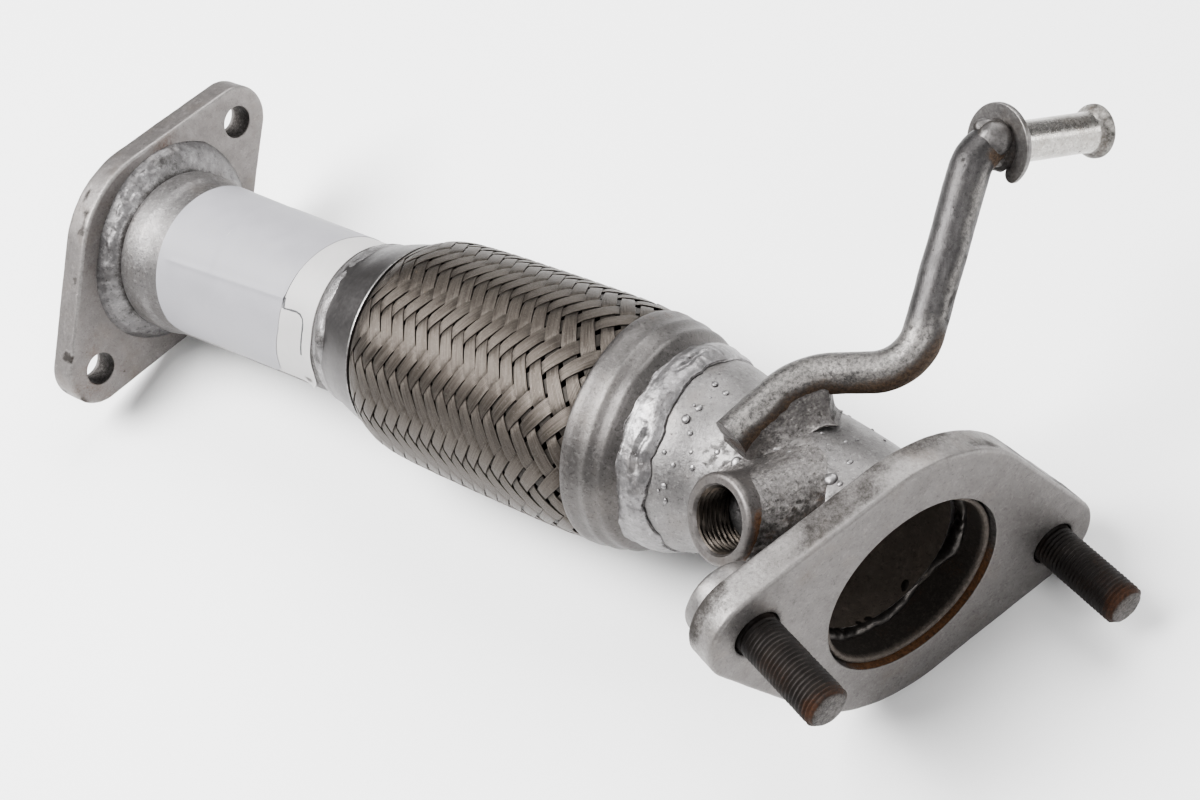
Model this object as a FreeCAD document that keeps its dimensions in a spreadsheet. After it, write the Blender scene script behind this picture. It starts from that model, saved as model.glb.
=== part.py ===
# Front exhaust pipe with a braided flexible section, two bolting plates,
# a threaded sensor boss and a bent hanger rod.
#
# Pipe frame: X runs along the flexible section from the rear plate (x = 0 is
# the outer face of that plate) to the front, the elbow bends in the XY plane.
# Plate frame: origin at the centre of the front plate's face, Z out of the
# face, X in the plane of the bend.
# The whole assembly is laid down by one placement, so that it rests on the
# edges of its two plates with Z up.
import FreeCAD, Part
import math
import os
import Sketcher
from FreeCAD import Matrix, Placement, Rotation, Vector

doc = FreeCAD.newDocument("exhaust_pipe")

# ---------------------------------------------------------------- dimensions
DIMS = [
    # laying down: turns (degrees) and shifts (mm) of the whole assembly
    ("lay_yaw", 0.0), ("lay_pitch", -1.1965268), ("lay_roll", -176.6141251),
    ("lay_x", -176.551), ("lay_y", -25.898), ("lay_z", 36.573),
    # rear plate
    ("rear_plate_thick", 9.5), ("rear_plate_mid", 36.6), ("rear_plate_tip", 12.8),
    ("rear_hole_half", 48.7), ("rear_hole_rad", 5.6), ("rear_plate_turn", 13.3),
    ("plate_edge", 0.9),
    # rear tube stations and radii
    ("tube_start", 0.6), ("ring_start", 16.2), ("ring_end", 28.0),
    ("tube_end_rad", 26.0), ("ring_rad", 27.7), ("tube_wall", 1.5),
    ("tube_after_ring", 26.6), ("label_start", 34.5), ("tube_label_rad", 26.42),
    ("label_lap", 58.0), ("tube_lap_rad", 25.75),
    ("label_top_end", 93.0), ("tube_top_end_rad", 25.2),
    ("label_low_end", 105.8), ("tube_low_end_rad", 25.05),
    ("tube_end", 119.0), ("tube_rad", 25.0), ("label_thick", 0.15),
    ("label_span", 230.0), ("label_turn", -105.0),
    # weld at the rear plate
    ("rear_weld_face_rad", 31.8),
    # flexible section
    ("cap_rear_start", 108.5), ("cap_rear_end", 127.0), ("cap_rear_rad", 30.9),
    ("cap_wall", 1.0), ("cap_foot_rad", 26.3),
    ("braid_start", 124.0), ("braid_end", 217.0), ("braid_rad", 35.3),
    ("braid_wall", 1.0),
    ("wave_start", 130.0), ("wave_pitch", 5.2), ("wave_count", 16),
    ("wave_low", 26.0), ("wave_high", 30.3), ("wave_wall", 0.8),
    ("liner_rad", 22.4), ("liner_wall", 0.6), ("liner_start", 112.0), ("liner_end", 226.0),
    ("rib_pitch", 4.2), ("rib_count", 23), ("rib_height", 0.6), ("rib_width", 2.2),
    ("cap_front_start", 213.0), ("cap_front_end", 231.5), ("cap_front_rad", 34.9),
    ("cap_front_foot", 29.2),
    # front tube: flared rear end, then the elbow
    ("flare_start", 222.0), ("flare_rad", 27.8), ("flare_end", 241.0),
    ("bend_start", 249.1), ("elbow_rad", 25.1), ("elbow_wall", 1.5),
    ("bend_rad", 149.9), ("bend_turn", 19.33),
    ("front_turn", 20.485), ("front_x", 310.91), ("front_y", 12.98),
    # front plate
    ("front_plate_thick", 9.5), ("front_plate_mid", 42.3), ("front_plate_tip", 14.1),
    ("stud_half", 51.75), ("front_plate_turn", 143.39), ("front_bore_rad", 27.4),
    ("stud_hole_rad", 6.95),
    # sleeve in the front plate
    ("sleeve_front", -1.9), ("sleeve_back", -16.0), ("sleeve_rad", 26.9), ("sleeve_in", 25.3),
    ("sleeve_step", -9.6), ("sleeve_root", 25.65),
    # studs, thread M12 x 1.25, with an undercut below the thread
    ("stud_rad", 5.95), ("stud_out", 28.0), ("stud_head_rad", 11.0), ("stud_head_thick", 6.0),
    ("stud_neck_rad", 5.6),
    # sensor boss, thread M18 x 1.5
    ("boss_back", 35.2), ("boss_turn", -43.9), ("boss_face", 40.0), ("boss_rad", 12.25),
    ("boss_thread_rad", 8.25), ("boss_gas_rad", 8.25),
    # hanger rod, centre-line corners in the pipe frame
    ("rod_rad", 5.5), ("rod_bend_a", 22.0), ("rod_bend_b", 14.0), ("rod_bend_c", 9.0),
    ("rod_ax", 259.57), ("rod_ay", 6.16), ("rod_az", -30.44),
    ("rod_bx", 267.02), ("rod_by", -17.71), ("rod_bz", -30.93),
    ("rod_cx", 292.77), ("rod_cy", -30.66), ("rod_cz", -27.92),
    ("rod_dx", 287.72), ("rod_dy", -83.93), ("rod_dz", -53.90),
    ("rod_ex", 301.66), ("rod_ey", -117.64), ("rod_ez", -28.41),
    ("rod_weld_rad", 5.0), ("rod_weld_run", 19.0), ("rod_weld_post", 4.4),
    ("rod_head_rad", 7.45), ("rod_head_thick", 2.0), ("washer_from_corner", 8.2),
    ("washer_rad", 11.1), ("washer_thick", 1.5), ("washer_corner", 2.2),
]
sheet = doc.addObject("Spreadsheet::Sheet", "Sheet")
V = {}
for row, (alias, value) in enumerate(DIMS, start=1):
    sheet.set("A%d" % row, alias)
    sheet.set("B%d" % row, repr(value))
    sheet.setAlias("B%d" % row, alias)
    V[alias] = float(value)
doc.recompute()


def terms(text):
    """Value of a sum such as 'alias - other + 1.5' read from the sheet."""
    total, sign = 0.0, 1.0
    for word in text.replace("+", " + ").replace(" - ", " ~ ").split():
        if word == "+":
            sign = 1.0
        elif word == "~":
            sign = -1.0
        else:
            total += sign * (V[word] if word in V else float(word))
            sign = 1.0
    return total


def bound(text):
    """The same sum as an expression on the sheet's cells."""
    return " ".join("Sheet." + w if w in V else w for w in text.split())


# ------------------------------------------------------------------- helpers
def axis_plane(body, role):
    return [o for o in body.Origin.OriginFeatures if o.Role == role][0]


def new_body(label):
    body = doc.addObject("PartDesign::Body", label)
    body.Label = label
    return body


def new_sketch(body, name, role):
    sk = body.newObject("Sketcher::SketchObject", name)
    sk.AttachmentSupport = (axis_plane(body, role), [""])
    sk.MapMode = "FlatFace"
    return sk


def pin(sk, kind, geo, pos, text):
    """Hold a point's X or Y at a sum of sheet cells."""
    c = sk.addConstraint(Sketcher.Constraint(kind, -1, 1, geo, pos, terms(text)))
    sk.setExpression("Constraints[%d]" % c, bound(text))


def polygon(sk, points, first=0):
    n = len(points)
    xy = [(terms(a), terms(b)) for a, b in points]
    for i in range(n):
        p, q = xy[i], xy[(i + 1) % n]
        sk.addGeometry(Part.LineSegment(Vector(p[0], p[1], 0), Vector(q[0], q[1], 0)), False)
    for i in range(n):
        sk.addConstraint(Sketcher.Constraint("Coincident", first + i, 2, first + (i + 1) % n, 1))
    for i, (a, b) in enumerate(points):
        pin(sk, "DistanceX", first + i, 1, a)
        pin(sk, "DistanceY", first + i, 1, b)


def revolve(body, name, points, angle=None):
    """Ring whose section is given as (station, radius) about the X axis."""
    sk = new_sketch(body, name + "_section", "XY_Plane")
    polygon(sk, points)
    rev = body.newObject("PartDesign::Revolution", name)
    rev.Profile = sk
    rev.ReferenceAxis = (sk, ["H_Axis"])
    rev.Angle = 360.0
    if angle:
        rev.Midplane = True
        rev.setExpression("Angle", "Sheet." + angle)
    doc.recompute()
    return rev


def circle(sk, x, y, radius):
    g = sk.addGeometry(Part.Circle(Vector(terms(x), terms(y), 0), Vector(0, 0, 1), terms(radius)), False)
    if x == "0":
        sk.addConstraint(Sketcher.Constraint("PointOnObject", g, 3, -2))
    else:
        pin(sk, "DistanceX", g, 3, x)
    if y == "0":
        sk.addConstraint(Sketcher.Constraint("PointOnObject", g, 3, -1))
    else:
        pin(sk, "DistanceY", g, 3, y)
    c = sk.addConstraint(Sketcher.Constraint("Radius", g, terms(radius)))
    sk.setExpression("Constraints[%d]" % c, bound(radius))
    return g


def plate(body, name, role, half, mid, tip, thick, bore, hole, back=False):
    """Two-bolt plate: a middle disc and two tip discs joined by tangents."""
    h, R, r = V[half], V[mid], V[tip]
    al = math.asin((R - r) / h)          # tangent line's slope
    sk = new_sketch(body, name + "_outline", role)

    def on(cx, rad, ang):
        return Vector(cx + rad * math.cos(ang), rad * math.sin(ang), 0)

    up = math.pi / 2
    a1, a2 = up - al, up + al
    arcs = [(h, r, -a1, a1), (0, R, a1, a2), (-h, r, a2, 2 * math.pi - a2), (0, R, -a2, -a1)]
    for cx, rad, s, e in arcs:
        sk.addGeometry(Part.ArcOfCircle(Part.Circle(Vector(cx, 0, 0), Vector(0, 0, 1), rad), s, e), False)
    sk.addGeometry(Part.LineSegment(on(h, r, a1), on(0, R, a1)), False)        # 4
    sk.addGeometry(Part.LineSegment(on(0, R, a2), on(-h, r, a2)), False)       # 5
    sk.addGeometry(Part.LineSegment(on(-h, r, -a2), on(0, R, -a2)), False)     # 6
    sk.addGeometry(Part.LineSegment(on(0, R, -a1), on(h, r, -a1)), False)      # 7
    for arc, ap, line, lp in ((0, 2, 4, 1), (4, 2, 1, 1), (1, 2, 5, 1), (5, 2, 2, 1),
                              (2, 2, 6, 1), (6, 2, 3, 1), (3, 2, 7, 1), (7, 2, 0, 1)):
        sk.addConstraint(Sketcher.Constraint("Tangent", arc, ap, line, lp))
    for g in (1, 3):
        sk.addConstraint(Sketcher.Constraint("Coincident", g, 3, -1, 1))
    for g in (0, 2):
        sk.addConstraint(Sketcher.Constraint("PointOnObject", g, 3, -1))
    for g, sign in ((0, 1), (2, -1)):
        c = sk.addConstraint(Sketcher.Constraint("DistanceX", -1, 1, g, 3, sign * h))
        sk.setExpression("Constraints[%d]" % c, ("" if sign > 0 else "-") + "Sheet." + half)
    for g, alias in ((0, tip), (2, tip), (1, mid), (3, mid)):
        c = sk.addConstraint(Sketcher.Constraint("Radius", g, V[alias]))
        sk.setExpression("Constraints[%d]" % c, "Sheet." + alias)
    circle(sk, "0", "0", bore)
    circle(sk, half, "0", hole)
    circle(sk, "0 - " + half, "0", hole)
    pad = body.newObject("PartDesign::Pad", name + "_pad")
    pad.Profile = sk
    pad.setExpression("Length", "Sheet." + thick)
    pad.Reversed = back
    doc.recompute()
    # break the outer edges
    edges = []
    for i, e in enumerate(pad.Shape.Edges, start=1):
        c = e.CenterOfMass
        far = max(math.hypot(v.X - 0, v.Y - 0) if role == "XY_Plane" else math.hypot(v.Y, v.Z)
                  for v in e.Vertexes)
        lateral = [v.X if role == "YZ_Plane" else v.Z for v in e.Vertexes]
        flat = abs(lateral[0] - lateral[-1]) < 1e-6
        closed = len(e.Vertexes) == 1
        if flat and not closed and far > 1.05 * V[bore]:
            edges.append("Edge%d" % i)
    fil = body.newObject("PartDesign::Fillet", name + "_edges")
    fil.Base = (pad, edges)
    fil.setExpression("Radius", "Sheet.plate_edge")
    doc.recompute()
    return body


def frame(origin, xdir, ydir, zdir):
    """Placement with the given origin and axes."""
    m = Matrix(xdir.x, ydir.x, zdir.x, origin.x,
               xdir.y, ydir.y, zdir.y, origin.y,
               xdir.z, ydir.z, zdir.z, origin.z, 0, 0, 0, 1)
    return Placement(m)


# pipe frame -> resting frame
LAY = Placement(Vector(V["lay_x"], V["lay_y"], V["lay_z"]),
                Rotation(V["lay_yaw"], V["lay_pitch"], V["lay_roll"]))
# plate frame -> pipe frame
ft = math.radians(V["front_turn"])
FRONT = frame(Vector(V["front_x"], V["front_y"], 0),
              Vector(-math.sin(ft), math.cos(ft), 0), Vector(0, 0, 1),
              Vector(math.cos(ft), math.sin(ft), 0))
# revolved pieces of the front plate are drawn along X: X -> plate's Z
FRONT_X = FRONT.multiply(Placement(Vector(0, 0, 0), Rotation(Vector(0, 1, 0), -90)))

OUT = []          # (node name, object)


def keep(obj, local=None):
    obj.Placement = LAY if local is None else LAY.multiply(local)
    OUT.append((obj.Label, obj))


def prim(kind, name, placement, **size):
    obj = doc.addObject(kind, name)
    for k, alias in size.items():
        if isinstance(alias, str):
            obj.setExpression(k, bound(alias))
        else:
            setattr(obj, k, alias)
    obj.Placement = placement
    return obj


def cut(label, base, tools):
    obj = base
    for i, tool in enumerate(tools):
        c = doc.addObject("Part::Cut", label if i == len(tools) - 1 else "%s_cut%d" % (label, i))
        c.Base, c.Tool = obj, tool
        obj = c
    obj.Label = label
    doc.recompute()
    return obj


# ---------------------------------------------------------------- rear plate
b = new_body("rear_flange")
plate(b, "rear_flange", "YZ_Plane", "rear_hole_half", "rear_plate_mid", "rear_plate_tip",
      "rear_plate_thick", "tube_end_rad", "rear_hole_rad")
keep(b, Placement(Vector(0, 0, 0), Rotation(Vector(1, 0, 0), V["rear_plate_turn"])))

b = new_body("rear_flange_weld")
revolve(b, "rear_weld_ring", [
    ("rear_plate_thick", "tube_end_rad"), ("rear_plate_thick", "rear_weld_face_rad"),
    ("rear_plate_thick + 2.4", "rear_weld_face_rad - 1.2"),
    ("rear_plate_thick + 4.4", "tube_end_rad + 2.0"), ("ring_start", "tube_end_rad")])
keep(b)

# ----------------------------------------------------------------- rear tube
b = new_body("rear_pipe")
revolve(b, "rear_tube", [
    ("tube_start", "tube_end_rad"), ("ring_start", "tube_end_rad"),
    ("ring_start + 1.8", "ring_rad"), ("ring_end - 2.4", "ring_rad"),
    ("ring_end", "tube_after_ring"), ("label_start", "tube_label_rad"),
    ("label_lap", "tube_lap_rad"), ("label_top_end", "tube_top_end_rad"),
    ("label_low_end", "tube_low_end_rad"), ("cap_rear_start", "tube_rad"), ("tube_end", "tube_rad"),
    ("tube_end", "tube_rad - tube_wall"), ("cap_rear_start", "tube_rad - tube_wall"),
    ("label_low_end", "tube_low_end_rad - tube_wall"),
    ("label_top_end", "tube_top_end_rad - tube_wall"), ("label_lap", "tube_lap_rad - tube_wall"),
    ("label_start", "tube_label_rad - tube_wall"), ("ring_end", "tube_after_ring - tube_wall"),
    ("ring_end - 2.6", "ring_rad - tube_wall"), ("ring_start + 2.2", "ring_rad - tube_wall"),
    ("ring_start + 0.4", "tube_end_rad - tube_wall"), ("tube_start", "tube_end_rad - tube_wall")])
keep(b)

# paper labels, an upper one that laps over a lower one
b = new_body("label_lower")
revolve(b, "label_low", [
    ("label_lap", "tube_lap_rad"), ("label_lap", "tube_lap_rad + label_thick"),
    ("label_top_end", "tube_top_end_rad + label_thick"),
    ("label_low_end", "tube_low_end_rad + label_thick"), ("label_low_end", "tube_low_end_rad"),
    ("label_top_end", "tube_top_end_rad")], angle="label_span")
keep(b, Placement(Vector(0, 0, 0), Rotation(Vector(1, 0, 0), V["label_turn"])))
b = new_body("label_upper")
revolve(b, "label_top", [
    ("label_start", "tube_label_rad"), ("label_start", "tube_label_rad + label_thick"),
    ("label_lap", "tube_lap_rad + label_thick + label_thick"),
    ("label_top_end", "tube_top_end_rad + label_thick + label_thick"),
    ("label_top_end", "tube_top_end_rad + label_thick"), ("label_lap", "tube_lap_rad + label_thick"),
    ("label_lap", "tube_lap_rad")], angle="label_span")
keep(b, Placement(Vector(0, 0, 0), Rotation(Vector(1, 0, 0), V["label_turn"])))

# ---------------------------------------------------------- flexible section
b = new_body("rear_collar")
revolve(b, "rear_cap", [
    ("cap_rear_start", "tube_rad"), ("cap_rear_start", "cap_foot_rad"),
    ("cap_rear_start + 4.0", "cap_foot_rad + 0.4"), ("cap_rear_start + 9.5", "cap_foot_rad + 2.4"),
    ("cap_rear_end - 3.0", "cap_rear_rad - 0.7"), ("cap_rear_end", "cap_rear_rad"),
    ("cap_rear_end", "cap_rear_rad - cap_wall"),
    ("braid_start", "cap_rear_rad - cap_wall - 0.7"),
    ("cap_rear_start + 9.5", "cap_foot_rad + 2.4 - cap_wall"),
    ("cap_rear_start + 4.5", "tube_rad")])
keep(b)

b = new_body("rear_collar_weld")
revolve(b, "rear_cap_weld", [
    ("cap_rear_start - 2.4", "tube_rad + 0.05"), ("cap_rear_start - 1.6", "tube_rad + 1.1"),
    ("cap_rear_start + 0.6", "cap_foot_rad + 0.8"), ("cap_rear_start + 2.6", "cap_foot_rad + 0.9"),
    ("cap_rear_start + 4.0", "cap_foot_rad + 0.4"), ("cap_rear_start", "cap_foot_rad"),
    ("cap_rear_start", "tube_rad")])
keep(b)

b = new_body("outer_braid")
revolve(b, "braid_sleeve", [
    ("braid_start", "cap_rear_rad - cap_wall - 0.7"), ("cap_rear_end", "cap_rear_rad - cap_wall"),
    ("cap_rear_end + 1.6", "cap_rear_rad + 0.5"), ("cap_rear_end + 6.0", "braid_rad - 2.0"),
    ("cap_rear_end + 12.0", "braid_rad - 0.9"), ("cap_rear_end + 29.0", "braid_rad - 0.15"),
    ("cap_rear_end + 50.0", "braid_rad"), ("cap_front_start - 16.0", "braid_rad"),
    ("cap_front_start - 6.0", "braid_rad - 0.2"), ("cap_front_start - 1.6", "braid_rad - 0.6"),
    ("cap_front_start", "cap_front_rad - cap_wall"), ("braid_end", "cap_front_rad - 2.2"),
    ("braid_end", "cap_front_rad - 2.2 - braid_wall"),
    ("cap_front_start - 1.6", "braid_rad - 0.8 - braid_wall"),
    ("cap_front_start - 6.0", "braid_rad - 0.2 - braid_wall"),
    ("cap_front_start - 16.0", "braid_rad - braid_wall"),
    ("cap_rear_end + 50.0", "braid_rad - braid_wall"),
    ("cap_rear_end + 29.0", "braid_rad - 0.15 - braid_wall"),
    ("cap_rear_end + 12.0", "braid_rad - 0.9 - braid_wall"),
    ("cap_rear_end + 6.0", "braid_rad - 2.0 - braid_wall"),
    ("cap_rear_end + 1.6", "cap_rear_rad + 0.2 - braid_wall"),
    ("cap_rear_end", "cap_rear_rad - cap_wall - braid_wall"),
    ("braid_start", "cap_rear_rad - cap_wall - 0.7 - braid_wall")])
keep(b)

# gas-tight bellows: one wave repeated, and a cuff at each end
b = new_body("bellows")
wave = revolve(b, "wave", [
    ("wave_start", "wave_low"), ("wave_start + 0.8", "wave_low"),
    ("wave_start + 1.8", "wave_high"), ("wave_start + 3.4", "wave_high"),
    ("wave_start + 4.4", "wave_low"), ("wave_start + wave_pitch", "wave_low"),
    ("wave_start + wave_pitch", "wave_low + wave_wall"),
    ("wave_start + 4.8", "wave_low + wave_wall"),
    ("wave_start + 3.9", "wave_high + wave_wall"), ("wave_start + 1.3", "wave_high + wave_wall"),
    ("wave_start + 0.4", "wave_low + wave_wall"), ("wave_start", "wave_low + wave_wall")])
pat = b.newObject("PartDesign::LinearPattern", "waves")
pat.Originals = [wave]
pat.Direction = (axis_plane(b, "X_Axis"), [""])
pat.setExpression("Length", "Sheet.wave_pitch * (Sheet.wave_count - 1)")
pat.Occurrences = int(V["wave_count"])
b.Tip = pat
doc.recompute()
revolve(b, "rear_cuff", [
    ("cap_rear_start + 5.6", "tube_rad"), ("braid_start - 2.0", "tube_rad"),
    ("wave_start", "wave_low"), ("wave_start", "wave_low + wave_wall"),
    ("braid_start - 2.0", "tube_rad + 0.5"), ("cap_rear_start + 5.6", "tube_rad + 0.5")])
revolve(b, "front_cuff", [
    ("wave_start + 83.2", "wave_low"), ("wave_start + 83.2", "wave_low + wave_wall"),
    ("wave_start + 88.0", "wave_low + wave_wall"),
    ("flare_start", "flare_rad + 0.5"), ("flare_start + 3.5", "flare_rad + 0.5"),
    ("flare_start + 3.5", "flare_rad"), ("flare_start - 0.6", "flare_rad"),
    ("wave_start + 88.2", "wave_low")])
keep(b)

# interlocked inner hose: a tube with a row of ribs, its rear end held in the tube
b = new_body("inner_liner")
revolve(b, "liner_tube", [
    ("liner_start", "liner_rad - liner_wall"), ("liner_start", "tube_rad - tube_wall"),
    ("tube_end - 1.0", "tube_rad - tube_wall"), ("tube_end + 1.0", "liner_rad"),
    ("liner_end", "liner_rad"), ("liner_end", "liner_rad - liner_wall")])
rib = revolve(b, "rib", [
    ("tube_end + 3.0", "liner_rad - 0.1"), ("tube_end + 3.0", "liner_rad + rib_height"),
    ("tube_end + 3.0 + rib_width", "liner_rad + rib_height"),
    ("tube_end + 3.0 + rib_width", "liner_rad - 0.1")])
pat = b.newObject("PartDesign::LinearPattern", "ribs")
pat.Originals = [rib]
pat.Direction = (axis_plane(b, "X_Axis"), [""])
pat.setExpression("Length", "Sheet.rib_pitch * (Sheet.rib_count - 1)")
pat.Occurrences = int(V["rib_count"])
b.Tip = pat
doc.recompute()
keep(b)

b = new_body("front_collar")
revolve(b, "front_cap", [
    ("cap_front_start", "cap_front_rad - cap_wall"), ("cap_front_start", "cap_front_rad"),
    ("cap_front_start + 3.5", "cap_front_rad - 0.2"), ("cap_front_start + 6.5", "cap_front_rad - 0.9"),
    ("cap_front_start + 10.0", "cap_front_rad - 1.6"), ("cap_front_start + 12.5", "cap_front_rad - 1.9"),
    ("cap_front_start + 14.0", "cap_front_rad - 3.1"), ("cap_front_start + 16.0", "cap_front_foot + 0.4"),
    ("cap_front_end", "cap_front_foot"), ("cap_front_end", "flare_rad"),
    ("cap_front_start + 15.2", "flare_rad"), ("cap_front_start + 12.6", "cap_front_rad - 4.1"),
    ("cap_front_start + 11.4", "cap_front_rad - 3.1"), ("cap_front_start + 6.5", "cap_front_rad - 2.2"),
    ("braid_end", "cap_front_rad - 2.2")])
keep(b)

# ------------------------------------------------ front tube, flare and elbow
flare = new_body("front_flare")
revolve(flare, "flare_tube", [
    ("flare_start", "flare_rad"), ("flare_end", "flare_rad"), ("flare_end + 5.0", "elbow_rad + 1.1"),
    ("bend_start", "elbow_rad"), ("bend_start", "elbow_rad - elbow_wall"),
    ("flare_end + 5.0", "elbow_rad + 1.1 - elbow_wall"), ("flare_end", "flare_rad - elbow_wall"),
    ("flare_start", "flare_rad - elbow_wall")])
# the elbow is a piece of a ring about the bend's centre
turn_in = frame(Vector(V["bend_start"], V["bend_rad"], 0), Vector(0, -1, 0), Vector(1, 0, 0), Vector(0, 0, 1))
elbow_out = prim("Part::Torus", "elbow_out", turn_in, Radius1="bend_rad", Radius2="elbow_rad",
                 Angle3="bend_turn", Angle1=-180.0, Angle2=180.0)
elbow_in = prim("Part::Torus", "elbow_in", turn_in, Radius1="bend_rad",
                Radius2="elbow_rad - elbow_wall", Angle3="bend_turn", Angle1=-180.0, Angle2=180.0)
elbow = cut("elbow", elbow_out, [elbow_in])
joined = doc.addObject("Part::MultiFuse", "front_tube_whole")
joined.Shapes = [flare, elbow]
# boss axis: square to the plate's axis
bt = math.radians(V["boss_turn"])
BOSS = FRONT.multiply(frame(Vector(0, 0, -V["boss_back"]), Vector(0, 0, 1),
                            Vector(math.sin(bt), -math.cos(bt), 0),
                            Vector(math.cos(bt), math.sin(bt), 0)))
gas_hole = prim("Part::Cylinder", "sensor_hole", BOSS.multiply(Placement(Vector(0, 0, 10), Rotation())),
                Radius="boss_gas_rad", Height=25.0)
b = cut("front_pipe", joined, [gas_hole])
keep(b)

b = new_body("front_collar_weld")
revolve(b, "front_cap_weld", [
    ("cap_front_start + 14.0", "cap_front_rad - 3.1"), ("cap_front_start + 16.0", "cap_front_foot + 0.4"),
    ("cap_front_end", "cap_front_foot"), ("cap_front_end", "flare_rad"),
    ("cap_front_end + 6.6", "flare_rad"), ("cap_front_end + 5.0", "flare_rad + 1.4"),
    ("cap_front_end + 2.0", "flare_rad + 2.5"), ("cap_front_end - 1.4", "flare_rad + 3.1")])
keep(b)

# --------------------------------------------------------------- front plate
b = new_body("front_flange")
plate(b, "front_flange", "XY_Plane", "stud_half", "front_plate_mid", "front_plate_tip",
      "front_plate_thick", "front_bore_rad", "stud_hole_rad", back=True)
keep(b, FRONT.multiply(Placement(Vector(0, 0, 0), Rotation(Vector(0, 0, 1), V["front_plate_turn"]))))

b = new_body("front_stub")
revolve(b, "sleeve", [
    ("sleeve_back", "sleeve_root"), ("sleeve_back", "sleeve_rad"), ("sleeve_front", "sleeve_rad"),
    ("sleeve_front", "sleeve_in + 0.4"), ("sleeve_front - 0.4", "sleeve_in"),
    ("sleeve_step", "sleeve_in"), ("sleeve_step", "sleeve_root")])
keep(b, FRONT_X)

raw = new_body("front_weld_raw")
revolve(raw, "front_weld_ring", [
    ("sleeve_back", "sleeve_in - 0.6"), ("sleeve_back", "sleeve_rad"),
    ("0 - front_plate_thick", "sleeve_rad"), ("0 - front_plate_thick", "front_bore_rad + 3.6"),
    ("0 - front_plate_thick - 2.6", "front_bore_rad + 2.2"),
    ("sleeve_back - 1.2", "sleeve_rad - 0.2"), ("sleeve_back - 2.6", "sleeve_in - 0.6")])
raw.Placement = FRONT_X
b = cut("front_flange_weld", raw, [elbow_out])
keep(b)

raw = new_body("root_weld_raw")
revolve(raw, "root_ring", [
    ("sleeve_back + 1.0", "sleeve_root"), ("sleeve_back + 5.6", "sleeve_root"),
    ("sleeve_back + 4.6", "sleeve_in - 1.3"), ("sleeve_back + 3.4", "sleeve_in - 2.0"),
    ("sleeve_back + 1.0", "sleeve_in - 1.2")])
raw.Placement = FRONT_X
b = cut("inner_root_weld", raw, [elbow])
keep(b)

for label, side in (("stud_left", 1.0), ("stud_right", -1.0)):
    b = new_body(label)
    revolve(b, label + "_turned", [
        ("0 - front_plate_thick - stud_head_thick", "0"),
        ("0 - front_plate_thick - stud_head_thick", "stud_head_rad - 0.8"),
        ("0 - front_plate_thick - stud_head_thick + 0.8", "stud_head_rad"),
        ("0 - front_plate_thick", "stud_head_rad"), ("0 - front_plate_thick", "stud_hole_rad"),
        ("0 - 2.4", "stud_hole_rad"), ("0 - 1.6", "stud_neck_rad"), ("0", "stud_neck_rad"),
        ("0", "stud_rad"), ("stud_out - 1.3", "stud_rad"),
        ("stud_out", "stud_rad - 1.3"), ("stud_out", "0")])
    at = math.radians(V["front_plate_turn"])
    keep(b, FRONT.multiply(Placement(Vector(side * V["stud_half"] * math.cos(at),
                                            side * V["stud_half"] * math.sin(at), 0),
                                     Rotation(Vector(0, 1, 0), -90))))

# --------------------------------------------------------------- sensor boss
BOSS_X = BOSS.multiply(Placement(Vector(0, 0, 0), Rotation(Vector(0, 1, 0), -90)))
boss_raw = new_body("boss_raw")
revolve(boss_raw, "boss_turned", [
    ("boss_face - 22.0", "boss_thread_rad"), ("boss_face - 22.0", "boss_rad"),
    ("boss_face - 0.9", "boss_rad"), ("boss_face", "boss_rad - 0.9"),
    ("boss_face", "boss_thread_rad + 1.1"), ("boss_face - 1.1", "boss_thread_rad")])
boss_raw.Placement = BOSS_X
b = cut("sensor_bung", boss_raw, [elbow_out])
keep(b)

bung_weld_raw = new_body("boss_weld_raw")
revolve(bung_weld_raw, "boss_weld_ring", [
    ("boss_face - 20.0", "boss_rad"), ("boss_face - 20.0", "boss_rad + 4.6"),
    ("boss_face - 13.4", "boss_rad + 2.0"), ("boss_face - 10.8", "boss_rad")])
bung_weld_raw.Placement = BOSS_X
b = cut("sensor_bung_weld", bung_weld_raw, [elbow_out])
keep(b)

# ---------------------------------------------------------------- hanger rod
corners = [Vector(V["rod_%sx" % k], V["rod_%sy" % k], V["rod_%sz" % k]) for k in "abcde"]
radii = [0, V["rod_bend_a"], V["rod_bend_b"], V["rod_bend_c"], 0]
pin_dir = (corners[4] - corners[3]).normalize()


def bent_wire(points, bends):
    """Straight runs joined by tangent arcs."""
    edges, last = [], points[0]
    for i in range(1, len(points) - 1):
        p = points[i]
        d0 = (p - points[i - 1]).normalize()
        d1 = (points[i + 1] - p).normalize()
        turn = d0.getAngle(d1)
        run = bends[i] * math.tan(turn / 2)
        a, e = p - d0 * run, p + d1 * run
        inward = (d1 - d0).normalize()
        centre = p + inward * (bends[i] / math.cos(turn / 2))
        mid = centre - inward * bends[i]
        edges.append(Part.LineSegment(last, a).toShape())
        edges.append(Part.Arc(a, mid, e).toShape())
        last = e
    edges.append(Part.LineSegment(last, points[-1]).toShape())
    return Part.Wire(edges)


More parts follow.
